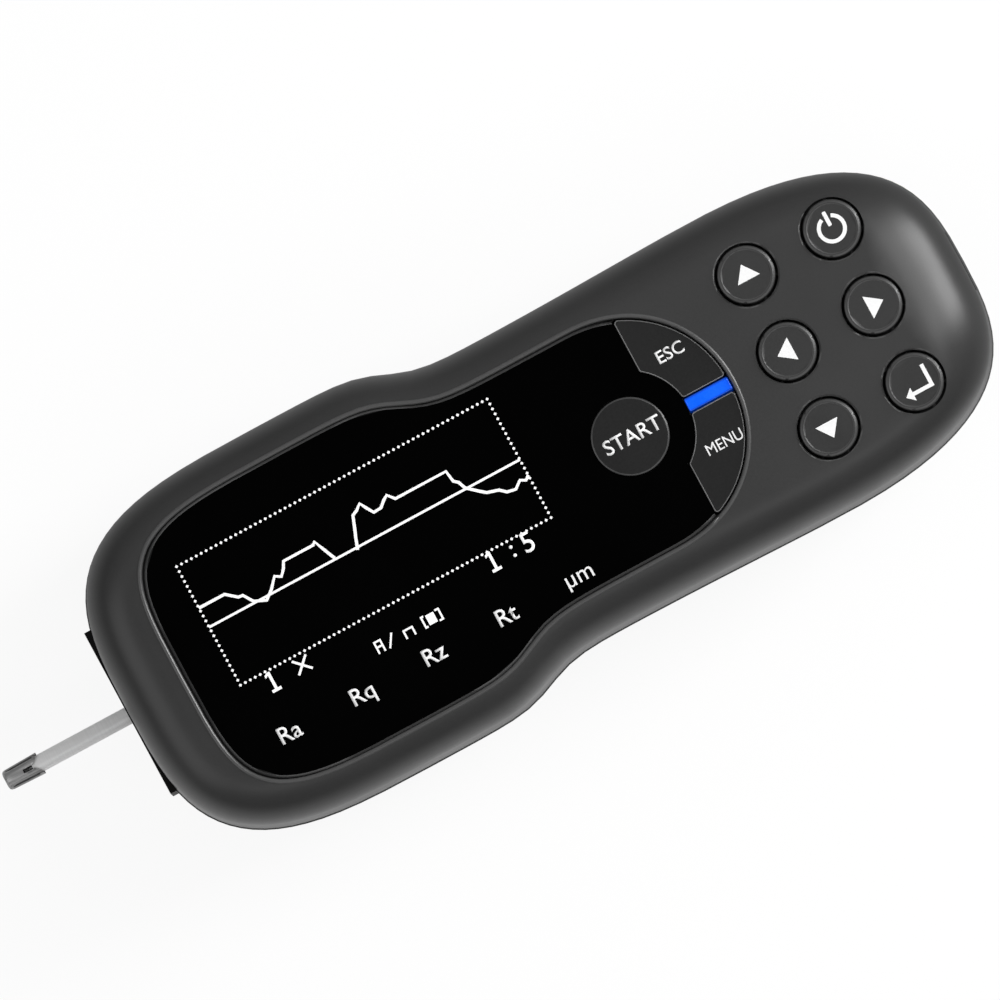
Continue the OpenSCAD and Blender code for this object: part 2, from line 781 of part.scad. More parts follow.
module pickup_body() {
    color(dark) difference() {
        along_x(pickup_x0) turned([[tube_r + fit, 0], [pickup_r - 1.6, 0], [pickup_r, 2],
            [pickup_r, pickup_len], [0, pickup_len], [0, pickup_len - 4], [cavity_r, pickup_len - 4],
            [cavity_r, tube_seat], [tube_r + fit, tube_seat]]);
        translate([pivot_x, 0, pickup_z]) rotate([90, 0, 0])
            cylinder(r = pivot_r + fit, h = 2*cavity_r + 1.2, center = true);
    }
}

module pickup_coil() {
    color([0.7, 0.35, 0.15]) along_x(coil_x) turned([[coil_in, 0], [cavity_r - fit, 0],
        [cavity_r - fit, coil_len], [coil_in, coil_len]]);
}

module pivot_pin() {
    color(metal) translate([pivot_x, 0, pickup_z]) rotate([90, 0, 0])
        cylinder(r = pivot_r, h = 2*cavity_r + 1, center = true);
}

module pickup_tube() {
    tube_len = pickup_x0 + tube_seat - 0.1 - tube_x0;
    color(metal) along_x(tube_x0)
        turned([[tube_in, 0], [tube_r, 0], [tube_r, tube_len], [tube_in, tube_len]]);
}

module tip_guard() {
    color(dull_metal) difference() {
        union() {
            along_x(guard_x0) turned([[0, 0], [guard_tip_r - 0.7, 0], [guard_tip_r - 0.3, 0.12],
                [guard_tip_r - 0.09, 0.35], [guard_tip_r, 0.75], [guard_r, guard_len],
                [tube_r + fit, guard_len], [tube_r + fit, guard_wall], [0, guard_wall]]);
            intersection() {
                translate([guard_x0 + skid_r, 0, skid_z + skid_r]) rotate([90, 0, 0])
                    cylinder(r = skid_r, h = 1.6, center = true);
                translate([guard_x0, -1, skid_z - 1])
                    cube([2*skid_r, 2, pickup_z - tube_r - skid_z + 0.95]);
            }
        }
        translate([0, 0, pickup_z]) linear_extrude(guard_r + 1)
            polygon([[guard_x1 - 1.4, 0], [guard_x1 + 0.5, -guard_r - 0.7],
                [guard_x1 + 0.5, guard_r + 0.7]]);
        translate([guard_x1 - 3.2, -0.33, pickup_z]) cube([2.2, 0.66, guard_r + 1]);
        translate([tip_x - 0.95, -0.6, pickup_z - guard_r - 1]) cube([1.9, 1.2, guard_r + 1]);
    }
}

module stylus_arm() {
    color(metal) difference() {
        union() {
            along_x(tip_x - arm_r) cylinder(r = arm_r, h = armature_x - tip_x + arm_r);
            along_x(armature_x - eps) cylinder(r = armature_r, h = armature_len);
            translate([pivot_x, 0, pickup_z]) rotate([90, 0, 0])
                cylinder(r = hub_r, h = 1.6, center = true);
            translate([tip_x, 0, tip_top]) cylinder(r = 0.3, h = pickup_z - tip_top);
        }
        translate([pivot_x, 0, pickup_z]) rotate([90, 0, 0])
            cylinder(r = pivot_r + run, h = 4, center = true);
    }
}

module stylus_tip() {
    color([0.85, 0.9, 0.95]) translate([tip_x, 0, tip_z])
        cylinder(r1 = 0.05, r2 = 0.3, h = tip_top - tip_z - fit);
}

module case_screws() {
    color(metal) for (p = case_bosses) translate([p[0], p[1], case_seat_z - case_head_h - fit])
        turned([[0, 0], [case_head_r, 0], [case_head_r, case_head_h], [case_screw_r, case_head_h],
            [case_screw_r, part_z + case_bite - case_seat_z],
            [0, part_z + case_bite - case_seat_z]]);
}

module board_screws() {
    color(metal) for (p = board_posts) translate([p[0], p[1], board_z0 - fit - small_head_h])
        turned([[0, 0], [small_head_r, 0], [small_head_r, small_head_h],
            [small_screw_r, small_head_h], [small_screw_r, small_head_h + board_t + small_bite],
            [0, small_head_h + board_t + small_bite]]);
}

module frame_screws() {
    shank = frame_z1 + fit - frame_screw_z;
    color(metal) for (p = frame_holes) translate([p[0], p[1], frame_screw_z])
        turned([[0, 0], [small_screw_r, 0], [small_screw_r, shank], [small_head_r, shank],
            [small_head_r, shank + small_head_h], [0, shank + small_head_h]]);
}

module motor_screws() {
    color(metal) for (s = [-1, 1]) along_x(plate_x - fit - motor_head_h, screw_z, s*motor_screw_y)
        turned([[0, 0], [motor_head_r, 0], [motor_head_r, motor_head_h],
            [motor_screw_r, motor_head_h], [motor_screw_r, motor_screw_len], [0, motor_screw_len]]);
}

top_cover();
lower_case();
front_block();
display_window();
indicator_bar();
start_button();
esc_button();
menu_button();
up_key();
left_key();
down_key();
power_key();
right_key();
enter_key();
display_module();
display_glass();
main_board();
board_chips();
indicator_lamp();
key_mat();
usb_socket();
battery_pack();
drive_frame();
guide_rods();
screw_bearings();
lead_screw();
shaft_coupling();
motor_shaft();
gear_head();
drive_motor();
limit_switches();
carriage();
carriage_bushes();
screw_nut();
pickup_socket();
pickup_plug();
pickup_body();
pickup_coil();
pivot_pin();
pickup_tube();
tip_guard();
stylus_arm();
stylus_tip();
case_screws();
board_screws();
frame_screws();
motor_screws();
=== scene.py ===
import bpy
import json
import math
from mathutils import Matrix, Vector


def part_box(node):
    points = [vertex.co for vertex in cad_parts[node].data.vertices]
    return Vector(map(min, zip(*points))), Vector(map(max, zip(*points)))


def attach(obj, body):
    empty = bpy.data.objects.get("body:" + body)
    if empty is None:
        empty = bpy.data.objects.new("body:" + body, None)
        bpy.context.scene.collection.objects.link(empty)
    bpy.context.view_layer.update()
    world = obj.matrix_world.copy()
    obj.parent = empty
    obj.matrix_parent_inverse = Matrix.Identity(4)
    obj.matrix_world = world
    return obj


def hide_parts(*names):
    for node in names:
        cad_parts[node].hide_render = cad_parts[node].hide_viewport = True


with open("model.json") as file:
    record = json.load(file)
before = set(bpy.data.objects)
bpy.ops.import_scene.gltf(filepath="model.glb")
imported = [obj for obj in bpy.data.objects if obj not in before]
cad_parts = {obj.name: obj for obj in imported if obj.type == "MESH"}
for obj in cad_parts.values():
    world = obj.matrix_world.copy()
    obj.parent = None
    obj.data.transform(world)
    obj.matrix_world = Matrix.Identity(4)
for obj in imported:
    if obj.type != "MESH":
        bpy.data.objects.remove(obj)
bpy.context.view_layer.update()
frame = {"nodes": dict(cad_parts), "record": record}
nodes = frame["nodes"]
bodyOf = {n: b for b, names in frame["record"]["behaviour"]["bodies"].items() for n in names}
slotOf = {s["node"]: s["material_slot"] for s in frame["record"]["subparts"]}
mm = 0.001
print("frame loaded:", len(nodes), "nodes")


def pickOnly(obj):
    bpy.ops.object.select_all(action="DESELECT")
    obj.select_set(True)
    bpy.context.view_layer.objects.active = obj


def settle(obj):  # the place goes into the mesh
    pickOnly(obj)
    bpy.ops.object.transform_apply(location=True, rotation=True, scale=True)


def applyMod(obj, mod):
    pickOnly(obj)
    bpy.ops.object.modifier_apply(modifier=mod.name)


def joinAll(parts, name):
    pickOnly(parts[0])
    for p in parts[1:]:
        p.select_set(True)
    if len(parts) > 1:
        bpy.ops.object.join()
    obj = bpy.context.view_layer.objects.active
    obj.name = obj.data.name = name
    return obj


def pickFaces(obj, test):  # leaves edit mode on, with the faces that pass the test selected
    pickOnly(obj)
    bpy.ops.object.mode_set(mode="EDIT")
    bpy.ops.mesh.select_mode(type="FACE")
    bpy.ops.mesh.select_all(action="DESELECT")
    bpy.ops.object.mode_set(mode="OBJECT")
    for p in obj.data.polygons:
        p.select = test(p.center, p.normal)
    bpy.ops.object.mode_set(mode="EDIT")


def pickEdges(obj, test):  # the same for edges, by their middle
    pickOnly(obj)
    bpy.ops.object.mode_set(mode="EDIT")
    bpy.ops.mesh.select_mode(type="EDGE")
    bpy.ops.mesh.select_all(action="DESELECT")
    bpy.ops.object.mode_set(mode="OBJECT")
    v = obj.data.vertices
    for e in obj.data.edges:
        e.select = test((v[e.vertices[0]].co + v[e.vertices[1]].co) / 2)
    bpy.ops.object.mode_set(mode="EDIT")


def editDone():
    bpy.ops.object.mode_set(mode="OBJECT")


def skinOf(node, clean=0.0):  # merged copy of a CAD node that stands for it
    obj = bpy.data.objects.new(node + "_skin", nodes[node].data.copy())
    bpy.context.scene.collection.objects.link(obj)
    pickOnly(obj)
    bpy.ops.object.mode_set(mode="EDIT")
    bpy.ops.mesh.select_all(action="SELECT")
    bpy.ops.mesh.remove_doubles(threshold=0.002 * mm)
    if clean:  # slivers where a cut crosses the rounded edge
        bpy.ops.mesh.dissolve_degenerate(threshold=clean * mm)
        bpy.ops.mesh.dissolve_limited(angle_limit=math.radians(0.2))
    bpy.ops.mesh.tris_convert_to_quads(face_threshold=math.radians(2), shape_threshold=math.radians(180))
    editDone()
    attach(obj, bodyOf[node])
    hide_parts(node)
    return obj


def softEdges(obj, width, segments=3, limit=50):
    mod = obj.modifiers.new("edge", "BEVEL")
    mod.width = width * mm
    mod.segments = segments
    mod.limit_method = "ANGLE"
    mod.angle_limit = math.radians(limit)
    applyMod(obj, mod)


def evenShade(obj, angle=32):  # flat faces stay flat beside the rounded ones
    pickFaces(obj, lambda c, n: abs(n.z) > 0.9999)
    bpy.ops.mesh.mod_weighted_strength(set=True, face_strength="STRONG")
    editDone()
    bpy.ops.object.shade_smooth_by_angle(angle=math.radians(angle))
    mod = obj.modifiers.new("even", "WEIGHTED_NORMAL")
    mod.keep_sharp = True
    mod.use_face_influence = True
    applyMod(obj, mod)


def newGroup(name, numbers, outputs):
    g = bpy.data.node_groups.new(name, "ShaderNodeTree")
    for label, value in numbers:
        s = g.interface.new_socket(name=label, in_out="INPUT", socket_type="NodeSocketFloat")
        s.default_value = value
    for label in outputs:
        g.interface.new_socket(name=label, in_out="OUTPUT", socket_type="NodeSocketFloat")
    return g, g.nodes.new("NodeGroupInput"), g.nodes.new("NodeGroupOutput")


def mouldGrainGroup():  # slow tone drift and the fine texture of a moulded face
    g, gi, go = newGroup("mouldGrain", (("Patch Scale", 40.0), ("Grain Scale", 2500.0), ("Grain Share", 0.5)),
                         ("Tone", "Grain"))
    n, l = g.nodes, g.links
    tc = n.new("ShaderNodeTexCoord")
    patch, fine, mix = n.new("ShaderNodeTexNoise"), n.new("ShaderNodeTexNoise"), n.new("ShaderNodeMix")
    patch.inputs["Detail"].default_value = 3
    fine.inputs["Detail"].default_value = 2
    l.new(tc.outputs["Object"], patch.inputs["Vector"])
    l.new(tc.outputs["Object"], fine.inputs["Vector"])
    l.new(gi.outputs["Patch Scale"], patch.inputs["Scale"])
    l.new(gi.outputs["Grain Scale"], fine.inputs["Scale"])
    l.new(gi.outputs["Grain Share"], mix.inputs["Factor"])
    l.new(patch.outputs["Fac"], mix.inputs["A"])
    l.new(fine.outputs["Fac"], mix.inputs["B"])
    l.new(mix.outputs["Result"], go.inputs["Tone"])
    l.new(fine.outputs["Fac"], go.inputs["Grain"])
    return g


def handlingGroup():  # faint smears where fingers polish a face
    g, gi, go = newGroup("handling", (("Smear Scale", 55.0), ("Low", 0.52), ("High", 0.72)), ("Smear",))
    n, l = g.nodes, g.links
    tc, mp = n.new("ShaderNodeTexCoord"), n.new("ShaderNodeMapping")
    mp.inputs["Rotation"].default_value = (0, 0, 0.6)
    mp.inputs["Scale"].default_value = (1.0, 0.45, 1.0)
    noise, span = n.new("ShaderNodeTexNoise"), n.new("ShaderNodeMapRange")
    noise.inputs["Detail"].default_value = 4
    noise.inputs["Distortion"].default_value = 0.6
    l.new(tc.outputs["Object"], mp.inputs["Vector"])
    l.new(mp.outputs["Vector"], noise.inputs["Vector"])
    l.new(gi.outputs["Smear Scale"], noise.inputs["Scale"])
    l.new(noise.outputs["Fac"], span.inputs["Value"])
    l.new(gi.outputs["Low"], span.inputs["From Min"])
    l.new(gi.outputs["High"], span.inputs["From Max"])
    l.new(span.outputs["Result"], go.inputs["Smear"])
    return g


def grindGroup():  # fine rings left by grinding or turning round the x axis
    g, gi, go = newGroup("grindRings", (("Ring Scale", 4200.0), ("Across", 60.0)), ("Rings",))
    n, l = g.nodes, g.links
    tc, split, join = n.new("ShaderNodeTexCoord"), n.new("ShaderNodeSeparateXYZ"), n.new("ShaderNodeCombineXYZ")
    l.new(tc.outputs["Object"], split.inputs[0])
    for axis, key in (("X", "Ring Scale"), ("Y", "Across"), ("Z", "Across")):
        times = n.new("ShaderNodeMath")
        times.operation = "MULTIPLY"
        l.new(split.outputs[axis], times.inputs[0])
        l.new(gi.outputs[key], times.inputs[1])
        l.new(times.outputs[0], join.inputs[axis])
    noise = n.new("ShaderNodeTexNoise")
    noise.inputs["Scale"].default_value = 1.0
    noise.inputs["Detail"].default_value = 3
    l.new(join.outputs[0], noise.inputs["Vector"])
    l.new(noise.outputs["Fac"], go.inputs["Rings"])
    return g


mouldGrain, handling, grindRings = mouldGrainGroup(), handlingGroup(), grindGroup()


def finish(name, low, high, rough, metal=0.0, patch=40, fine=2500, share=0.5, bump=0.0, specular=0.5,
           smear=0.0, glow=0.0, rings=0.0, across=60.0):
    mat = bpy.data.materials.new(name)
    mat.use_nodes = True
    n, l = mat.node_tree.nodes, mat.node_tree.links
    bsdf = n["Principled BSDF"]
    g = n.new("ShaderNodeGroup")
    g.node_tree = grindRings if rings else mouldGrain
    if rings:
        g.inputs["Ring Scale"].default_value = rings
        g.inputs["Across"].default_value = across
        tone = grainOut = g.outputs["Rings"]
    else:
        g.inputs["Patch Scale"].default_value = patch
        g.inputs["Grain Scale"].default_value = fine
        g.inputs["Grain Share"].default_value = share
        tone, grainOut = g.outputs["Tone"], g.outputs["Grain"]
    ramp = n.new("ShaderNodeValToRGB")
    ramp.color_ramp.elements[0].position, ramp.color_ramp.elements[1].position = 0.3, 0.7
    ramp.color_ramp.elements[0].color = (*low, 1)
    ramp.color_ramp.elements[1].color = (*high, 1)
    l.new(tone, ramp.inputs["Fac"])
    l.new(ramp.outputs["Color"], bsdf.inputs["Base Color"])
    span = n.new("ShaderNodeMapRange")
    span.inputs["From Min"].default_value, span.inputs["From Max"].default_value = 0.3, 0.7
    span.inputs["To Min"].default_value, span.inputs["To Max"].default_value = rough
    l.new(tone, span.inputs["Value"])
    roughOut = span.outputs["Result"]
    if smear:
        h, less = n.new("ShaderNodeGroup"), n.new("ShaderNodeMath")
        h.node_tree = handling
        less.operation = "MULTIPLY_ADD"
        less.inputs[1].default_value = -smear
        l.new(h.outputs["Smear"], less.inputs[0])
        l.new(roughOut, less.inputs[2])
        roughOut = less.outputs[0]
    l.new(roughOut, bsdf.inputs["Roughness"])
    bsdf.inputs["Metallic"].default_value = metal
    bsdf.inputs["Specular IOR Level"].default_value = specular
    if bump:
        b = n.new("ShaderNodeBump")
        b.inputs["Strength"].default_value = bump
        b.inputs["Distance"].default_value = 0.05 * mm
        l.new(grainOut, b.inputs["Height"])
        l.new(b.outputs["Normal"], bsdf.inputs["Normal"])
    if glow:
        l.new(ramp.outputs["Color"], bsdf.inputs["Emission Color"])
        bsdf.inputs["Emission Strength"].default_value = glow
    return mat


def grey(v):
    return (v, v, v)


coverPlastic = finish("coverPlastic", grey(0.022), grey(0.027), (0.36, 0.43), bump=0.1, smear=0.06, specular=0.45)
# paler colour for the cover's faces that slope into the window and key holes, and for the window bead: a painted
# highlight, beside a lower roughness
coverPaintedHighlight = finish("coverPaintedHighlight", grey(0.055), grey(0.068), (0.26, 0.34), patch=120, specular=0.5)
# paler colour for the upward faces of the case's ledge: a painted highlight
caseLedgePaintedHighlight = finish("caseLedgePaintedHighlight", grey(0.06), grey(0.08), (0.35, 0.45), patch=120)
casePlastic = finish("casePlastic", grey(0.012), grey(0.017), (0.4, 0.5), bump=0.15, smear=0.05)
blockPlastic = finish("blockPlastic", grey(0.0012), grey(0.0025), (0.5, 0.6), bump=0.12, specular=0.15)
windowGloss = finish("windowGloss", grey(0.0003), grey(0.0005), (0.03, 0.05), patch=25, share=0.1, smear=-0.05,
                     specular=0.35)
# paler colour for the window's bevel: a painted highlight
windowPaintedHighlight = finish("windowPaintedHighlight", grey(0.06), grey(0.08), (0.25, 0.35), patch=60)
keyPlastic = finish("keyPlastic", grey(0.017), grey(0.021), (0.38, 0.46), bump=0.08, smear=0.08, specular=0.45)
# paler colour for the keys' crests: a painted highlight
keyPaintedHighlight = finish("keyPaintedHighlight", grey(0.036), grey(0.045), (0.26, 0.34), patch=150)
buttonPlastic = finish("buttonPlastic", grey(0.0065), grey(0.009), (0.38, 0.46), bump=0.08, smear=0.06, specular=0.27)
# paler colours for the sloping edges of START and the sector buttons: painted highlights
buttonPaintedHighlight = finish("buttonPaintedHighlight", grey(0.03), grey(0.045), (0.25, 0.33), patch=150)
sectorPaintedHighlight = finish("sectorPaintedHighlight", grey(0.16), grey(0.26), (0.25, 0.33), patch=150)
printWhite = finish("printWhite", grey(0.8), grey(0.88), (0.45, 0.6), patch=300)
pixelWhite = finish("pixelWhite", grey(0.82), grey(0.9), (0.3, 0.4), patch=300, glow=0.25)
tubeSteel = finish("tubeSteel", grey(0.84), grey(0.9), (0.32, 0.42), metal=0.12, rings=4200)
guardSteel = finish("guardSteel", grey(0.16), grey(0.5), (0.26, 0.4), metal=0.5, rings=60, across=2600)
# darker colour for the guard's grooves: a painted dark reflection
groovePaintedDarkReflection = finish("groovePaintedDarkReflection", grey(0.03), grey(0.06), (0.5, 0.6), metal=0.4, rings=60, across=2600)
brushedSteel = finish("brushedSteel", (0.4, 0.4, 0.41), (0.5, 0.5, 0.51), (0.3, 0.45), metal=1.0, patch=200)
brightSteel = finish("brightSteel", grey(0.6), grey(0.68), (0.25, 0.35), metal=1.0, rings=3500)
alloy = finish("alloy", (0.55, 0.56, 0.57), (0.66, 0.67, 0.68), (0.35, 0.5), metal=1.0, patch=120)
bronze = finish("bronze", (0.5, 0.32, 0.1), (0.6, 0.4, 0.14), (0.3, 0.42), metal=1.0, patch=150)
boardGreen = finish("boardGreen", (0.01, 0.07, 0.03), (0.02, 0.11, 0.05), (0.35, 0.45), patch=90, bump=0.1)
siliconeGrey = finish("siliconeGrey", (0.2, 0.2, 0.21), (0.26, 0.26, 0.27), (0.6, 0.75), bump=0.1)
batteryWrap = finish("batteryWrap", (0.015, 0.04, 0.12), (0.02, 0.06, 0.16), (0.25, 0.35), patch=60)
displayGlass = finish("displayGlass", (0.004, 0.005, 0.007), (0.008, 0.009, 0.012), (0.05, 0.1))
gemStone = finish("gemStone", (0.6, 0.65, 0.7), (0.75, 0.8, 0.85), (0.05, 0.1))
lampBlue = finish("lampBlue", (0.0, 0.085, 0.75), (0.0, 0.11, 0.95), (0.2, 0.3), patch=150, share=0.2, glow=0.35)

slotFinish = {
    "cover_plastic": coverPlastic, "case_plastic": casePlastic, "black_plastic": blockPlastic,
    "window_gloss": windowGloss, "blue_lens": lampBlue, "key_plastic": keyPlastic, "steel": brushedSteel,
    "bright_steel": brightSteel, "alloy": alloy, "bronze": bronze, "display_glass": displayGlass,
    "board": boardGreen, "lamp_body": printWhite, "silicone": siliconeGrey, "battery_wrap": batteryWrap,
    "gem": gemStone,
}


def dress(obj, *mats):
    obj.data.materials.clear()
    for m in mats:
        obj.data.materials.append(m)


for name, obj in nodes.items():
    dress(obj, slotFinish[slotOf[name]])
print("finishes made")

# the two shells and the block at the nose
shells = {"smooth": 32, "blockEdge": 0.15, "clean": 0.02, "ledge": 0.3}
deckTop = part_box("top_cover")[1].z
windowLow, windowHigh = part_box("display_window")
windowTop = windowHigh.z
keyNames = ("up_key", "left_key", "down_key", "power_key", "right_key", "enter_key")
keyMids = []
for name in keyNames:
    low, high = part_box(name)
    keyMids.append(Vector(((low.x + high.x) / 2, (low.y + high.y) / 2)))

# slope of the lip's faces, the line inside the window that they face, and how far a key's own edge reaches
lip = {"below": 0.05, "steepest": 0.2, "flattest": 0.97, "fromNose": 22, "fromTail": 4, "keyReach": 6.5}


def facesIn(c, n):  # a face of the cover that slopes down to the window or to a key
    if c.z < windowTop - lip["below"] * mm or not lip["steepest"] < n.z < lip["flattest"]:
        return False
    along = min(max(c.x, windowLow.x + lip["fromNose"] * mm), windowHigh.x - lip["fromTail"] * mm)
    spots = [Vector((along, 0))]
    spots += [k for k in keyMids if (c.xy - k).length < lip["keyReach"] * mm]
    return n.xy.dot(c.xy - spots[-1]) < 0


# the rounded top edge is made of facets, so its normals are worked out from its outline and its curve
edge = {"in": 8.5, "tail": 5.0, "up": 12.0, "power": 2.3, "draft": 0.3, "near": 14}


def outerLoop(obj):  # the lowest edge of the outer wall, point by point, with the outward direction at each
    v = obj.data.vertices
    low = min(x.co.z for x in v)
    beside = {}
    for p in obj.data.polygons:
        if abs(p.normal.z) < 0.3 and p.normal.xy.dot(p.center.xy) > 0:
            for a, b in p.edge_keys:
                if max(v[a].co.z, v[b].co.z) < low + 0.01 * mm:
                    beside.setdefault(a, []).append(b)
                    beside.setdefault(b, []).append(a)
    chain = [max(beside, key=lambda i: v[i].co.x)]
    while True:
        onward = [i for i in beside[chain[-1]] if i not in chain[-2:]]
        if not onward or onward[0] == chain[0]:
            break
        chain.append(onward[0])
    spots = [v[i].co.xy for i in chain]
    ways = []
    for i, spot in enumerate(spots):
        d = spots[(i + 1) % len(spots)] - spots[i - 1]
        way = Vector((d.y, -d.x)).normalized()
        ways.append(way if way.dot(spot) > 0 else -way)
    return list(zip(spots, ways))


def edgeNormal(point, loop):  # normal of the smooth edge at a point near it
    rise = min(max((point.z - deckTop) / mm / edge["up"] + 1, 0), 1)
    if rise > 0.9995:
        return Vector((0, 0, 1))
    s = max(rise ** (edge["power"] / 2), 0.001)
    c = math.sqrt(1 - s * s)
    shrink = 1 - c ** (2 / edge["power"])
    ring = [(spot - way * ((edge["draft"] + shrink * (edge["in"] + edge["tail"] * max(0, way.x) ** 3)) * mm), way)
            for spot, way in loop]
    best = None
    for i, (a, wayA) in enumerate(ring):
        b, wayB = ring[(i + 1) % len(ring)]
        share = min(max((point.xy - a).dot(b - a) / max((b - a).length_squared, 1e-12), 0), 1)
        gap = (a.lerp(b, share) - point.xy).length_squared
        if best is None or gap < best[0]:
            best = (gap, wayA.lerp(wayB, share).normalized())
    way = best[1]
    steep = edge["up"] / (edge["in"] + edge["tail"] * max(0, way.x) ** 3) * (c / s) ** (2 - 2 / edge["power"])
    return Vector((way.x * steep, way.y * steep, 1)).normalized()


def smoothEdge(obj):
    loop = outerLoop(obj)
    v = obj.data.vertices
    normals = [c.vector.copy() for c in obj.data.corner_normals]
    known = {}
    for p in obj.data.polygons:
        if p.normal.z < 0.02 or p.center.z < deckTop - (edge["up"] + 0.05) * mm:
            continue
        if p.normal.angle(edgeNormal(p.center, loop)) > math.radians(edge["near"]):
            continue
        for i in p.loop_indices:
            j = obj.data.loops[i].vertex_index
            if j not in known:
                known[j] = edgeNormal(v[j].co, loop)
            normals[i] = known[j]
    obj.data.normals_split_custom_set(normals)
    print("edge normals:", len(known), "points, outline of", len(loop))


cover = skinOf("top_cover")
evenShade(cover, shells["smooth"])
smoothEdge(cover)
dress(cover, coverPlastic, coverPaintedHighlight)
# faces sloping into the window and the key holes take the paler colour, a painted highlight
for p in cover.data.polygons:
    if facesIn(p.center, p.normal):
        p.material_index = 1
case = skinOf("lower_case", shells["clean"])
evenShade(case, shells["smooth"])
dress(case, casePlastic, caseLedgePaintedHighlight)
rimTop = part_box("top_cover")[0].z
for p in case.data.polygons:  # the narrow ledge that shows round the cover takes a paler colour, a painted highlight
    if p.normal.z > 0.9 and abs(p.center.z - rimTop) < shells["ledge"] * mm:
        p.material_index = 1
block = skinOf("front_block")
softEdges(block, shells["blockEdge"])
evenShade(block)
dress(block, blockPlastic)
print("shells dressed")

# bead that rounds the cover's edge round the window
bead = {"radius": 0.42, "sink": 0.24, "steps": 2}


def spotOf(a, b):  # the middle of an edge as a tuple that can be looked up
    return tuple(round(c / mm, 3) for c in (a + b) / 2)


v = cover.data.vertices
lipEdges, topEdges = set(), set()
for p in cover.data.polygons:
    if facesIn(p.center, p.normal):
        if all((p.center.xy - k).length > lip["keyReach"] * mm for k in keyMids):
            lipEdges.update(p.edge_keys)
    elif p.normal.z > 0.6 and p.center.z > windowTop:
        topEdges.update(p.edge_keys)
lipSpots = {spotOf(v[a].co, v[b].co) for a, b in lipEdges & topEdges}
rim = bpy.data.objects.new("window_bead", cover.data.copy())
bpy.context.scene.collection.objects.link(rim)
pickEdges(rim, lambda c: spotOf(c, c) not in lipSpots)
bpy.ops.mesh.delete(type="EDGE")
editDone()
pickOnly(rim)
bpy.ops.object.convert(target="CURVE")
rim = bpy.context.active_object
rim.data.bevel_depth = bead["radius"] * mm
rim.data.bevel_resolution = bead["steps"]
bpy.ops.object.convert(target="MESH")
rim = bpy.context.active_object
rim.location = (0, 0, -bead["sink"] * mm)
settle(rim)
bpy.ops.object.shade_smooth()
rim.name = rim.data.name = "window_bead"
# the bead takes the same paler colour, a painted highlight
dress(rim, coverPaintedHighlight)
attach(rim, "housing")
print("bead:", len(lipSpots), "edges,", len(rim.data.polygons), "faces")



def paleEdge(obj, top, band, flattest=0.99):  # the sloping faces near the top take the second finish, a paler colour that paints a highlight
    for p in obj.data.polygons:
        if p.center.z > top - band * mm and 0.3 < p.normal.z < flattest:
            p.material_index = 1


# black window, whose bevel gets a paler colour than its face, a painted highlight
pane = {"band": 10}
window = skinOf("display_window")
evenShade(window)
dress(window, windowGloss, windowPaintedHighlight)
paleEdge(window, windowTop, pane["band"])

# blue bar, with painted shade that darkens it towards its long edges
bar = {"edge": 0.22, "paintedShadeTone": 0.35}
barSkin = skinOf("indicator_bar")
softEdges(barSkin, bar["edge"])
evenShade(barSkin)
dress(barSkin, lampBlue)
barLow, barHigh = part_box("indicator_bar")
n, l = lampBlue.node_tree.nodes, lampBlue.node_tree.links
tc, split, off, span, paintedShade = (n.new("ShaderNodeTexCoord"), n.new("ShaderNodeSeparateXYZ"), n.new("ShaderNodeMath"),
                              n.new("ShaderNodeMapRange"), n.new("ShaderNodeMix"))
off.operation = "ABSOLUTE"
span.inputs["From Min"].default_value, span.inputs["From Max"].default_value = barHigh.y * 0.6, barHigh.y * 0.95
paintedShade.data_type = "RGBA"
paintedShade.blend_type = "MULTIPLY"
l.new(tc.outputs["Object"], split.inputs[0])
l.new(split.outputs["Y"], off.inputs[0])
l.new(off.outputs[0], span.inputs["Value"])
l.new(span.outputs["Result"], paintedShade.inputs[0])
ramp = [x for x in n if x.type == "VALTORGB"][0]
l.new(ramp.outputs["Color"], paintedShade.inputs[6])
paintedShade.inputs[7].default_value = (*grey(bar["paintedShadeTone"]), 1)
l.new(paintedShade.outputs[2], n["Principled BSDF"].inputs["Base Color"])
l.new(paintedShade.outputs[2], n["Principled BSDF"].inputs["Emission Color"])

# round keys: a narrow crest round a face that lies a little lower; crest and slope take a paler colour, a painted
# highlight
key = {"crest": 0.1, "slope": 0.18, "dip": 0.1, "smooth": 40, "band": 0.2, "flattest": 0.999}
for name in keyNames:
    cap = skinOf(name)
    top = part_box(name)[1].z
    pickFaces(cap, lambda c, n: n.z > 0.99 and c.z > top - 0.01 * mm)
    bpy.ops.mesh.inset(thickness=key["crest"] * mm, depth=0)
    bpy.ops.mesh.inset(thickness=key["slope"] * mm, depth=-key["dip"] * mm)
    editDone()
    evenShade(cap, key["smooth"])
    dress(cap, keyPlastic, keyPaintedHighlight)
    paleEdge(cap, top, key["band"], key["flattest"])

# START and the two sector buttons, whose sloping edges take a paler colour, a painted highlight
button = {"edge": 0.18, "drop": 0.1, "smooth": 40, "band": 0.3}
for name in ("start_button", "esc_button", "menu_button"):
    cap = skinOf(name)
    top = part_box(name)[1].z
    if name != "start_button":  # a sloping edge round the top
        pickFaces(cap, lambda c, n: n.z > 0.99 and c.z > top - 0.01 * mm)
        bpy.ops.transform.translate(value=(0, 0, -button["drop"] * mm))
        bpy.ops.mesh.inset(thickness=button["edge"] * mm, depth=button["drop"] * mm)
        editDone()
    evenShade(cap, button["smooth"])
    dress(cap, buttonPlastic, buttonPaintedHighlight if name == "start_button" else sectorPaintedHighlight)
    paleEdge(cap, top, button["band"])
print("window, bar and buttons dressed")

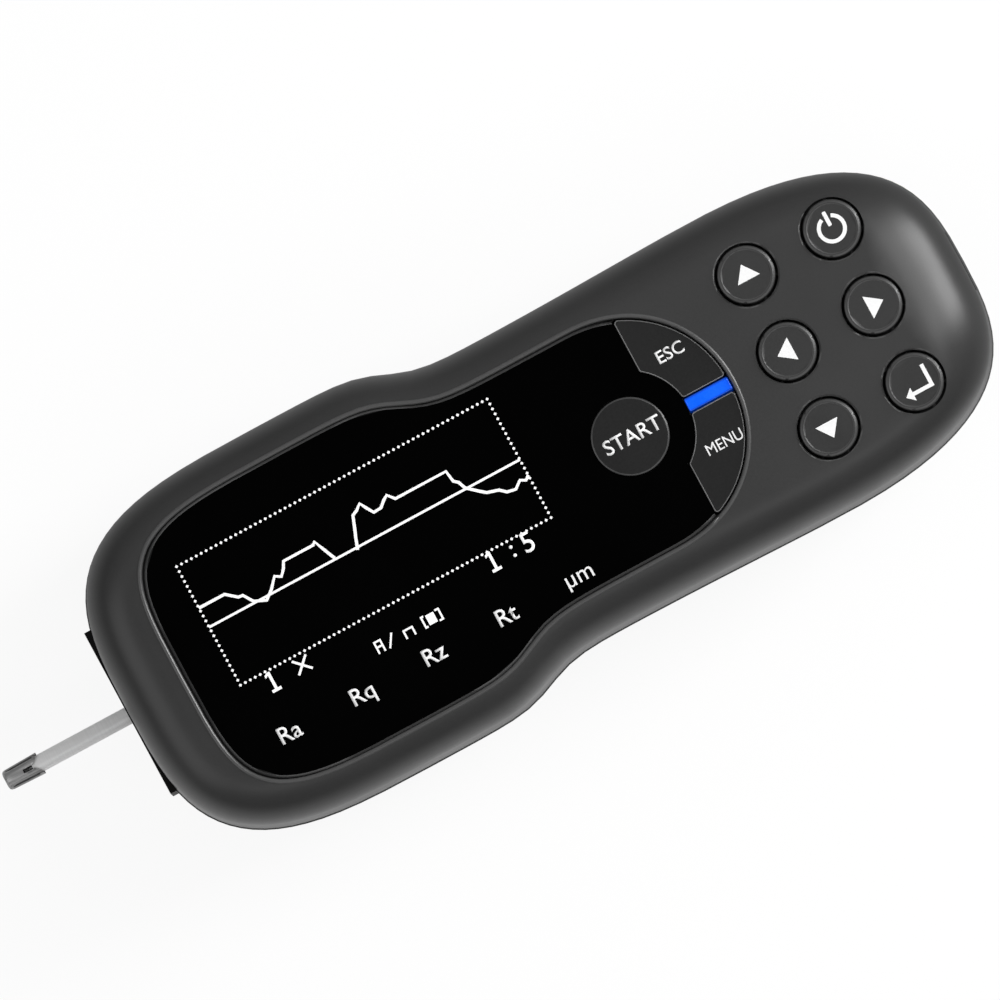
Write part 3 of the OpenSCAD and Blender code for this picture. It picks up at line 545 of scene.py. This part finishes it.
# pickup outside the nose
turned = {"smooth": 35}
pickupFinish = {"pickup_tube": tubeSteel, "pickup_body": casePlastic, "stylus_arm": brightSteel, "stylus_tip": gemStone}
for name, mat in pickupFinish.items():
    piece = skinOf(name)
    evenShade(piece, turned["smooth"])
    dress(piece, mat)

# the guard has a shallow groove along each side of its top, coloured darker as a painted dark reflection
groove = {"from": 50, "to": 62, "deep": 0.12, "edge": 0.04, "clear": 0.9}
guard = skinOf("tip_guard")
low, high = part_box("tip_guard")
dress(guard, guardSteel, groovePaintedDarkReflection)
pickFaces(guard, lambda c, n: (abs(n.x) < 0.2 and c.x > low.x + groove["clear"] * mm
                               and groove["from"] < math.degrees(math.acos(min(1, n.z))) < groove["to"]
                               and c.z > low.z + (high.z - low.z) * 0.5))
bpy.ops.mesh.inset(thickness=groove["edge"] * mm, depth=-groove["deep"] * mm)
bpy.context.object.active_material_index = 1
bpy.ops.object.material_slot_assign()
editDone()
evenShade(guard, turned["smooth"])

# case screws get a cross in each head, seen from below
cross = {"long": 2.6, "wide": 0.6, "deep": 0.9, "turn": 0.4, "cell": 20}
screws = skinOf("case_screws")
low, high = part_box("case_screws")
heads = []
for v in screws.data.vertices:  # one place for each screw, from its lowest ring
    if v.co.z < low.z + 0.01 * mm:
        spot = tuple(round(c / mm / cross["cell"]) for c in v.co.xy)
        for h in heads:
            if h[0] == spot:
                h[1].append(v.co.copy())
                break
        else:
            heads.append((spot, [v.co.copy()]))
cutters = []
for spot, ring in heads:
    mid = Vector([(min(c[i] for c in ring) + max(c[i] for c in ring)) / 2 for i in range(3)])
    for turn in (cross["turn"], cross["turn"] + math.pi / 2):
        bpy.ops.object.select_all(action="DESELECT")
        bpy.ops.mesh.primitive_cube_add(size=1, location=mid, rotation=(0, 0, turn))
        cut = bpy.context.active_object
        cut.scale = (cross["long"] * mm, cross["wide"] * mm, 2 * cross["deep"] * mm)
        settle(cut)
        cutters.append(cut)
cutter = joinAll(cutters, "crossCutter")
mod = screws.modifiers.new("cross", "BOOLEAN")
mod.operation, mod.object, mod.solver, mod.use_self = "DIFFERENCE", cutter, "EXACT", True
applyMod(screws, mod)
bpy.data.objects.remove(cutter)
evenShade(screws, turned["smooth"])
dress(screws, brushedSteel)

# five contacts on the tongue of the socket
contact = {"count": 5, "pitch": 0.8, "wide": 0.42, "long": 4.4, "thick": 0.08, "edge": 0.03, "tongueTop": 0.6,
           "back": 1.2}
low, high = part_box("usb_socket")
socketMid = (low.z + high.z) / 2
bpy.ops.object.select_all(action="DESELECT")
bpy.ops.mesh.primitive_cube_add(size=1, location=(
    high.x - (contact["back"] + contact["long"] / 2) * mm,
    -contact["pitch"] * (contact["count"] - 1) / 2 * mm,
    socketMid + contact["tongueTop"] * mm))
pins = bpy.context.active_object
pins.scale = (contact["long"] * mm, contact["wide"] * mm, contact["thick"] * mm)
settle(pins)
softEdges(pins, contact["edge"], 2)
mod = pins.modifiers.new("row", "ARRAY")
mod.use_relative_offset = False
mod.use_constant_offset = True
mod.constant_offset_displace = (0, contact["pitch"] * mm, 0)
mod.count = contact["count"]
applyMod(pins, mod)
pins.name = pins.data.name = "socketContacts"
dress(pins, bronze)
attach(pins, "housing")
print("pickup, screws and socket dressed")

# white print: thin raised shapes, sunk a little into the face below
ink = {"sink": 0.01, "rise": 0.02}


def printed(obj, name, x, y, z, body, mat, turn=0.0):  # flat shape at the origin becomes print on a face
    pickOnly(obj)
    bpy.ops.object.mode_set(mode="EDIT")
    bpy.ops.mesh.select_all(action="SELECT")
    bpy.ops.mesh.extrude_region_move(TRANSFORM_OT_translate={"value": (0, 0, (ink["sink"] + ink["rise"]) * mm)})
    bpy.ops.mesh.select_all(action="SELECT")
    bpy.ops.mesh.normals_make_consistent(inside=False)
    editDone()
    obj.rotation_euler = (0, 0, turn)
    obj.location = (x * mm, y * mm, z - ink["sink"] * mm)
    settle(obj)
    obj.name = obj.data.name = name
    dress(obj, mat)
    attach(obj, body)
    return obj


def word(text, size, wide=1.0, bold=0.0):  # flat lettering at the origin, as a mesh
    bpy.ops.object.select_all(action="DESELECT")
    bpy.ops.object.text_add(location=(0, 0, 0))
    obj = bpy.context.active_object
    obj.data.body = text
    obj.data.size = size * mm
    obj.data.align_x = "CENTER"
    obj.data.align_y = "CENTER"
    obj.data.offset = bold * mm
    obj.data.resolution_u = 4
    bpy.ops.object.convert(target="MESH")
    obj = bpy.context.active_object
    pickOnly(obj)
    bpy.ops.object.mode_set(mode="EDIT")
    bpy.ops.mesh.select_all(action="SELECT")
    bpy.ops.mesh.remove_doubles(threshold=0.001 * mm)
    editDone()
    xs, ys = [v.co.x for v in obj.data.vertices], [v.co.y for v in obj.data.vertices]
    obj.location = (-(min(xs) + max(xs)) / 2 * wide, -(min(ys) + max(ys)) / 2, 0)
    obj.scale = (wide, 1, 1)
    settle(obj)
    return obj


def strip(x0, y0, x1, y1):  # flat rectangle
    bpy.ops.object.select_all(action="DESELECT")
    bpy.ops.mesh.primitive_plane_add(size=1, location=((x0 + x1) / 2 * mm, (y0 + y1) / 2 * mm, 0))
    obj = bpy.context.active_object
    obj.scale = ((x1 - x0) * mm, (y1 - y0) * mm, 1)
    settle(obj)
    return obj


def roundCorners(obj, radius, segments=3):
    pickOnly(obj)
    bpy.ops.object.mode_set(mode="EDIT")
    bpy.ops.mesh.select_mode(type="VERT")
    bpy.ops.mesh.select_all(action="SELECT")
    bpy.ops.mesh.bevel(offset=radius * mm, affect="VERTICES", segments=segments)
    editDone()


def midOf(node):
    low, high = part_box(node)
    return (low.x + high.x) / 2 / mm, (low.y + high.y) / 2 / mm, high.z


# words on the three window buttons: text, letter size, width factor, weight added to the strokes, middle
buttonWords = {
    "start_button": ("START", 3.6, 1.0, 0.035, (16.7, 0.0)),
    "esc_button": ("ESC", 3.05, 1.0, 0.03, (28.7, 9.2)),
    "menu_button": ("MENU", 2.75, 0.9, 0.0, (29.6, -8.2)),  # an added weight would cross the M's strokes
}
for node, (text, size, wide, bold, place) in buttonWords.items():
    printed(word(text, size, wide, bold), node + "_word", *place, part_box(node)[1].z, bodyOf[node], printWhite)

# arrow signs on four keys, each turned to its own side
arrow = {"base": 4.13, "height": 2.85, "corner": 0.1}
arrowTurn = {"up_key": 0, "left_key": 90, "down_key": 180, "right_key": 270}
for node, turn in arrowTurn.items():
    x, y, z = midOf(node)
    bpy.ops.object.select_all(action="DESELECT")
    bpy.ops.mesh.primitive_circle_add(vertices=3, radius=1, fill_type="NGON")
    sign = bpy.context.active_object
    sign.scale = (arrow["base"] / math.sqrt(3) * mm, arrow["height"] / 1.5 * mm, 1)
    settle(sign)
    roundCorners(sign, arrow["corner"])
    printed(sign, node + "_sign", x, y, z - key["dip"] * mm, bodyOf[node], printWhite, math.radians(turn))

# power sign: an open ring with a bar in its gap
power = {"outer": 2.5, "stroke": 0.66, "gapHalf": 22, "barFrom": 0.5, "barTo": 3.1, "barRound": 0.2}
bpy.ops.object.select_all(action="DESELECT")
bpy.ops.mesh.primitive_circle_add(vertices=96, radius=power["outer"] * mm, fill_type="NOTHING")
ring = bpy.context.active_object
bpy.ops.object.mode_set(mode="EDIT")
bpy.ops.mesh.select_all(action="SELECT")
bpy.ops.mesh.extrude_region()
inner = 1 - power["stroke"] / power["outer"]
bpy.ops.transform.resize(value=(inner, inner, 1), center_override=(0, 0, 0))
editDone()
pickFaces(ring, lambda c, n: abs(math.degrees(math.atan2(c.x, c.y))) < power["gapHalf"])
bpy.ops.mesh.delete(type="FACE")
editDone()
stem = strip(-power["stroke"] / 2, power["barFrom"], power["stroke"] / 2, power["barTo"])
roundCorners(stem, power["barRound"])
x, y, z = midOf("power_key")
printed(joinAll([ring, stem], "powerSign"), "power_key_sign", x, y, z - key["dip"] * mm, "power", printWhite)

# enter sign: a bent stroke with an arrow head at its left end
enter = {"right": 2.3, "top": 2.0, "line": -1.75, "stroke": 0.66, "headFrom": -1.15, "tip": -2.5, "headHalf": 1.2}
s = enter["stroke"]
bend = strip(enter["right"] - s / 2, enter["line"] - s / 2, enter["right"] + s / 2, enter["line"] + s / 2)
pickEdges(bend, lambda c: c.y > (enter["line"] + s * 0.4) * mm)
bpy.ops.mesh.extrude_region_move(TRANSFORM_OT_translate={"value": (0, (enter["top"] - enter["line"] - s / 2) * mm, 0)})
editDone()
pickEdges(bend, lambda c: c.x < (enter["right"] - s * 0.4) * mm and c.y < (enter["line"] + s * 0.4) * mm)
bpy.ops.mesh.extrude_region_move(TRANSFORM_OT_translate={
    "value": ((enter["headFrom"] - enter["right"] + s / 2) * mm, 0, 0)})
editDone()
bpy.ops.object.select_all(action="DESELECT")
bpy.ops.mesh.primitive_circle_add(vertices=3, radius=1, fill_type="NGON", rotation=(0, 0, math.pi / 2))
head = bpy.context.active_object
settle(head)
headLen = enter["headFrom"] - enter["tip"]
head.scale = (headLen / 1.5 * mm, enter["headHalf"] / math.sqrt(3) * 2 * mm, 1)
head.location = ((enter["headFrom"] - headLen / 3) * mm, enter["line"] * mm, 0)
settle(head)
x, y, z = midOf("enter_key")
printed(joinAll([bend, head], "enterSign"), "enter_key_sign", x, y, z - key["dip"] * mm, "enter", printWhite)
print("words and signs made")

# what the display shows: a dotted frame, a base line, a trace and a few figures
screen = {"x0": -60.0, "x1": -1.6, "y0": -5.6, "y1": 16.7, "dot": 0.29, "across": 64, "upright": 25,
          "lineY": 5.3, "lineHalf": 0.2, "traceHalf": 0.26}
face = windowTop
pitchX = (screen["x1"] - screen["x0"]) / (screen["across"] - 1)
pitchY = (screen["y1"] - screen["y0"]) / (screen["upright"] - 1)


def dotRow(x, y, count, step, gap):  # a row of dots and its twin across the frame
    bpy.ops.object.select_all(action="DESELECT")
    bpy.ops.mesh.primitive_circle_add(vertices=4, radius=screen["dot"] * mm, fill_type="NGON")
    obj = bpy.context.active_object
    roundCorners(obj, screen["dot"] * 0.25, 2)
    obj.location = (x * mm, y * mm, 0)
    settle(obj)
    for offset, times in ((step, count), (gap, 2)):
        mod = obj.modifiers.new("row", "ARRAY")
        mod.use_relative_offset = False
        mod.use_constant_offset = True
        mod.constant_offset_displace = (offset[0] * mm, offset[1] * mm, 0)
        mod.count = times
        applyMod(obj, mod)
    return obj


rows = dotRow(screen["x0"], screen["y0"], screen["across"], (pitchX, 0), (0, screen["y1"] - screen["y0"]))
sides = dotRow(screen["x0"], screen["y0"] + pitchY, screen["upright"] - 2, (0, pitchY),
               (screen["x1"] - screen["x0"], 0))
printed(joinAll([rows, sides], "dots"), "screen_frame", 0, 0, face, "housing", pixelWhite)
baseLine = strip(screen["x0"], screen["lineY"] - screen["lineHalf"], screen["x1"], screen["lineY"] + screen["lineHalf"])
printed(baseLine, "screen_base_line", 0, 0, face, "housing", pixelWhite)

trace = [
    [(-60, 8.9), (-55.2, 8.9), (-53.4, 7.4), (-52.6, 7.3), (-51.5, 5.6), (-49.5, 4.7), (-48, 5.9), (-46.5, 7.6),
     (-45.5, 7.0), (-44.6, 8.0), (-44, 9.1), (-38.4, 9.1), (-38, 9.5), (-37.2, 7.6), (-36.3, 5.5)],
    [(-32.3, 4.9), (-31.6, 6.9), (-31, 8.4), (-30.3, 10.3), (-29.4, 10.7), (-28.4, 11.5), (-27.8, 10.4), (-27, 9.1),
     (-25.6, 9.2), (-24.6, 10.1), (-23.8, 10.6), (-22.8, 9.4), (-13.3, 9.4), (-13, 7.4), (-12.3, 6.8), (-11.8, 5.5),
     (-10, 3.9), (-9, 3.1), (-7, 2.5), (-6, 1.6), (-4.5, 1.3), (-3.2, 2.3), (-2.3, 1.8), (-1.6, 2.4)],
]


def ribbon(points, half):  # an edge chain drawn point by point, widened into a flat band
    bpy.ops.object.select_all(action="DESELECT")
    bpy.ops.mesh.primitive_plane_add(size=0.1 * mm, location=(points[0][0] * mm, points[0][1] * mm, 0))
    obj = bpy.context.active_object
    settle(obj)
    bpy.ops.object.mode_set(mode="EDIT")
    bpy.ops.mesh.select_mode(type="VERT")
    bpy.ops.mesh.select_all(action="SELECT")
    bpy.ops.mesh.merge(type="CENTER")
    last = points[0]
    for p in points[1:]:
        bpy.ops.mesh.extrude_region_move(TRANSFORM_OT_translate={
            "value": ((p[0] - last[0]) * mm, (p[1] - last[1]) * mm, 0)})
        last = p
    editDone()
    pickOnly(obj)
    bpy.ops.object.convert(target="CURVE")
    obj = bpy.context.active_object
    obj.data.fill_mode = "FULL"
    obj.data.bevel_depth = half * mm
    obj.data.bevel_resolution = 0
    obj.data.use_fill_caps = True
    bpy.ops.object.convert(target="MESH")
    obj = bpy.context.active_object
    obj.scale = (1, 1, ink["rise"] / half)
    settle(obj)
    bpy.ops.object.mode_set(mode="EDIT")
    bpy.ops.mesh.select_all(action="SELECT")
    bpy.ops.mesh.remove_doubles(threshold=0.001 * mm)
    bpy.ops.mesh.normals_make_consistent(inside=False)
    editDone()
    return obj


bands = [ribbon(points, screen["traceHalf"]) for points in trace]
band = joinAll(bands, "screen_trace")
band.location = (0, 0, face)
settle(band)
dress(band, pixelWhite)
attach(band, "housing")

# figures under the frame: two ones with a foot, a cross, a colon and a five
figure = {"high": 3.5, "stroke": 0.5, "foot": 1.7, "flag": (-0.55, -0.35), "cross": 1.35, "y": -7.6}


def figureOne():  # stem with a foot to both sides and a short flag
    w, h, f = figure["stroke"] / 2, figure["high"] / 2, figure["foot"] / 2
    obj = strip(-w, -h, w, -h + 2 * w)
    for side in (-1, 1):
        pickEdges(obj, lambda c: c.x * side > w * 0.9 * mm)
        bpy.ops.mesh.extrude_region_move(TRANSFORM_OT_translate={"value": (side * (f - w) * mm, 0, 0)})
        editDone()
    pickEdges(obj, lambda c: abs(c.x) < w * 0.5 * mm and c.y > (-h + w) * mm)
    bpy.ops.mesh.extrude_region_move(TRANSFORM_OT_translate={"value": (0, (2 * h - 4 * w) * mm, 0)})
    bpy.ops.mesh.extrude_region_move(TRANSFORM_OT_translate={"value": (0, 2 * w * mm, 0)})
    editDone()
    pickEdges(obj, lambda c: c.x < -w * 0.9 * mm and c.y > (h - 2 * w) * mm)
    bpy.ops.mesh.extrude_region_move(TRANSFORM_OT_translate={"value": (*(c * mm for c in figure["flag"]), 0)})
    editDone()
    return obj


def crossSign():  # a square with an arm drawn out of each side
    w, arm = figure["stroke"] / 2 * 0.8, figure["cross"] * 1.2
    obj = strip(-w, -w, w, w)
    for x, y in ((1, 0), (-1, 0), (0, 1), (0, -1)):
        pickEdges(obj, lambda c: (abs(c.x * x + c.y * y - w * mm) < w * 0.1 * mm
                                  and abs(c.x * y - c.y * x) < w * 0.5 * mm))
        bpy.ops.mesh.extrude_region_move(TRANSFORM_OT_translate={"value": (x * arm * mm, y * arm * mm, 0)})
        editDone()
    return obj


screenFigures = (  # shape, name, place along the line, height above it, turn
    (figureOne(), "screen_count", -55.0, 0.0, 0),
    (crossSign(), "screen_times", -49.4, 0.1, 45),
    (figureOne(), "screen_ratio_one", -13.5, 0.2, 0),
    (word(":", 4.4, 1.0, 0.03), "screen_ratio_colon", -9.8, 0.1, 0),
    (word("5", 4.9, 0.95, 0.03), "screen_ratio_five", -7.0, 0.3, 0),
)
for obj, name, x, lift, turn in screenFigures:
    printed(obj, name, x, figure["y"] + lift, face, "housing", pixelWhite, math.radians(turn))

# small state marks: a probe sign, a slope and a battery block
marks = {"y": -10.9, "half": 1.1, "stroke": 0.32, "probe": (-37.4, -36.3), "arch": (-32.2, -30.6), "archTop": 0.5,
         "cell": (-28.6, -25.4), "cellFeet": (-28.0, -25.9), "block": (-27.7, -26.2), "blockIn": 0.2,
         "slopeX": -34.6, "slopeHalf": (0.16, 1.3), "slopeTurn": -0.55}
y0, y1, s = marks["y"] - marks["half"], marks["y"] + marks["half"], marks["stroke"]
archTop = marks["y"] + marks["archTop"]
bits = []
for pair, top in (("probe", y1), ("arch", archTop), ("cell", y1)):  # two uprights each
    bits += [strip(x, y0, x + s, top) for x in marks[pair]]
left, right = marks["probe"]
bits += [strip(left + s, y1 - s, right, y1), strip(left + s, marks["y"] - s / 2, right, marks["y"] + s / 2)]
left, right = marks["arch"]
bits.append(strip(left + s, archTop - s, right, archTop))
for low, high in ((y0, y0 + s), (y1 - s, y1)):  # the feet that make brackets of the battery's uprights
    bits += [strip(marks["cell"][0] + s, low, marks["cellFeet"][0], high),
             strip(marks["cellFeet"][1], low, marks["cell"][1], high)]
left, right = marks["block"]
bits.append(strip(left, y0 + marks["blockIn"], right, y1 - marks["blockIn"]))
w, h = marks["slopeHalf"]
slope = strip(-w, -h, w, h)
slope.rotation_euler = (0, 0, marks["slopeTurn"])
slope.location = (marks["slopeX"] * mm, marks["y"] * mm, 0)
settle(slope)
printed(joinAll(bits + [slope], "marks"), "screen_marks", 0, 0, face, "housing", pixelWhite)

# symbols of the measured values along the window's lower edge
legend = {"words": ("Ra", "Rq", "Rz", "Rt", "µm"), "size": 4.1, "from": -56.5, "step": 13.6, "line": -16.3}
for i, text in enumerate(legend["words"]):
    low = 0.55 if text in ("Rq", "µm") else 0.0  # tails hang below the line
    bold = 0.0 if text == "µm" else 0.035
    printed(word(text, legend["size"], 1.0, bold), "window_legend_%d" % i, legend["from"] + i * legend["step"],
            legend["line"] - low, face, "housing", printWhite)
print("display print made")
bpy.ops.object.select_all(action="DESELECT")

# studio: white floor with a faint shadow, a dome that is dark straight above, and softboxes
studio = {"floorSize": 8.0, "floorWhite": 0.95, "shadowShare": 0.1}
glossY = ((-0.2, 0.12), (-0.11, 0.65), (-0.03, 0.8), (0.03, 0.45), (0.1, 0.3), (0.2, 0.12))
glossX = ((-0.25, 0.2), (-0.15, 1.0), (0.07, 1.0), (0.095, 0.35))
dome = ((0.0, 0.25), (0.5, 0.4), (0.83, 0.45), (0.94, 0.45), (0.975, 0.45), (0.992, 0.02))


def rampOver(tree, source, stops):  # a coordinate looked up in a row of stops
    span, ramp = tree.nodes.new("ShaderNodeMapRange"), tree.nodes.new("ShaderNodeValToRGB")
    first, last = stops[0][0], stops[-1][0]
    span.inputs["From Min"].default_value, span.inputs["From Max"].default_value = first, last
    steps = ramp.color_ramp.elements
    while len(steps) < len(stops):
        steps.new(0.5)
    for step, (place, value) in zip(steps, stops):
        step.position = (place - first) / (last - first)
        step.color = (*grey(value), 1)
    tree.links.new(source, span.inputs["Value"])
    tree.links.new(span.outputs["Result"], ramp.inputs["Fac"])
    return ramp.outputs["Color"]


bpy.ops.mesh.primitive_plane_add(size=studio["floorSize"], location=(0, 0, -0.0002))
floor = bpy.context.active_object
floor.name = "floor"
floorMat = bpy.data.materials.new("floorPaper")
floorMat.use_nodes = True
n, l = floorMat.node_tree.nodes, floorMat.node_tree.links
n.remove(n["Principled BSDF"])
diffuse, glowing, mixer = n.new("ShaderNodeBsdfDiffuse"), n.new("ShaderNodeEmission"), n.new("ShaderNodeMixShader")
path, seen, seenToo, share = (n.new("ShaderNodeLightPath"), n.new("ShaderNodeMath"), n.new("ShaderNodeMath"),
                              n.new("ShaderNodeMath"))
seen.operation = seenToo.operation = "MAXIMUM"
share.operation = "MULTIPLY"
share.inputs[1].default_value = 1 - studio["shadowShare"]
diffuse.inputs["Color"].default_value = (*grey(studio["floorWhite"]), 1)
l.new(path.outputs["Is Camera Ray"], seen.inputs[0])
l.new(path.outputs["Is Glossy Ray"], seen.inputs[1])
l.new(seen.outputs[0], seenToo.inputs[0])
l.new(path.outputs["Is Transmission Ray"], seenToo.inputs[1])
l.new(seenToo.outputs[0], share.inputs[0])
l.new(share.outputs[0], mixer.inputs["Fac"])
l.new(diffuse.outputs[0], mixer.inputs[1])
l.new(glowing.outputs[0], mixer.inputs[2])
l.new(mixer.outputs[0], n["Material Output"].inputs["Surface"])
tc, split, pale, both = (n.new("ShaderNodeTexCoord"), n.new("ShaderNodeSeparateXYZ"), n.new("ShaderNodeMix"),
                         n.new("ShaderNodeMath"))
pale.inputs["A"].default_value = 1.0
both.operation = "MULTIPLY"
l.new(tc.outputs["Object"], split.inputs[0])
l.new(path.outputs["Is Glossy Ray"], pale.inputs["Factor"])
l.new(rampOver(floorMat.node_tree, split.outputs["Y"], glossY), both.inputs[0])
l.new(rampOver(floorMat.node_tree, split.outputs["X"], glossX), both.inputs[1])
l.new(both.outputs[0], pale.inputs["B"])
l.new(pale.outputs["Result"], glowing.inputs["Strength"])
dress(floor, floorMat)

world = bpy.data.worlds.new("studioWorld")
bpy.context.scene.world = world
world.use_nodes = True
n, l = world.node_tree.nodes, world.node_tree.links
coord, split, path, mix = (n.new("ShaderNodeTexCoord"), n.new("ShaderNodeSeparateXYZ"), n.new("ShaderNodeLightPath"),
                           n.new("ShaderNodeMix"))
mix.data_type = "RGBA"
mix.inputs[7].default_value = (1, 1, 1, 1)
l.new(coord.outputs["Generated"], split.inputs[0])
l.new(path.outputs["Is Camera Ray"], mix.inputs[0])
l.new(rampOver(world.node_tree, split.outputs["Z"], dome), mix.inputs[6])
l.new(mix.outputs[2], n["Background"].inputs["Color"])


def softbox(name, place, aim, size, watts):
    bpy.ops.object.light_add(type="AREA", location=place)
    lamp = bpy.context.active_object
    lamp.name = name
    lamp.data.shape = "RECTANGLE"
    lamp.data.size, lamp.data.size_y = size
    lamp.data.energy = watts
    lamp.rotation_mode = "QUATERNION"
    lamp.rotation_quaternion = (Vector(aim) - Vector(place)).to_track_quat("-Z", "Y")
    lamp.visible_camera = False


lamps = {  # place, aim, size, watts
    "sideBox": ((0.0, -0.8, 1.2), (0, 0, 0.03), (1.4, 0.5), 2.0),
    "noseBox": ((-0.9, 0.0, 0.7), (0, 0, 0.03), (0.9, 0.9), 2.5),
    "tailBox": ((0.98, 0.08, 0.44), (0.07, 0, 0.04), (0.34, 0.7), 9.5),
    "tailTop": ((0.31, 0.03, 0.47), (0.07, 0, 0.04), (0.2, 0.25), 0.82),
}
for name, settings in lamps.items():
    softbox(name, *settings)

# camera: almost straight down, rolled so that the pickup points to the lower left
shot = {"roll": 28.35, "tilt": 2.1, "pxPerMm": 6.02, "centrePx": (545.8, 487.8), "planeZ": 0.021, "away": 6.0}
tilt, roll = math.radians(shot["tilt"]), math.radians(shot["roll"])
back = Vector((0, -math.sin(tilt), math.cos(tilt)))
flatUp = Vector((0, math.cos(tilt), math.sin(tilt)))
right = Vector((1, 0, 0)) * math.cos(roll) - flatUp * math.sin(roll)
up = Vector((1, 0, 0)) * math.sin(roll) + flatUp * math.cos(roll)
px = shot["pxPerMm"] / mm
aim = (Vector((0, 0, shot["planeZ"])) + right * ((500 - shot["centrePx"][0]) / px)
       - up * ((500 - shot["centrePx"][1]) / px))
bpy.ops.object.camera_add()
cam = bpy.context.active_object
cam.data.sensor_width = 36
cam.data.lens = 18 / (500 / px / shot["away"])
cam.matrix_world = Matrix((right, up, back)).transposed().to_4x4()
cam.location = aim + back * shot["away"]
cam.data.clip_start, cam.data.clip_end = 0.05, 50
bpy.context.scene.camera = cam
bpy.context.scene.view_settings.view_transform = "Standard"
print("studio and camera set")
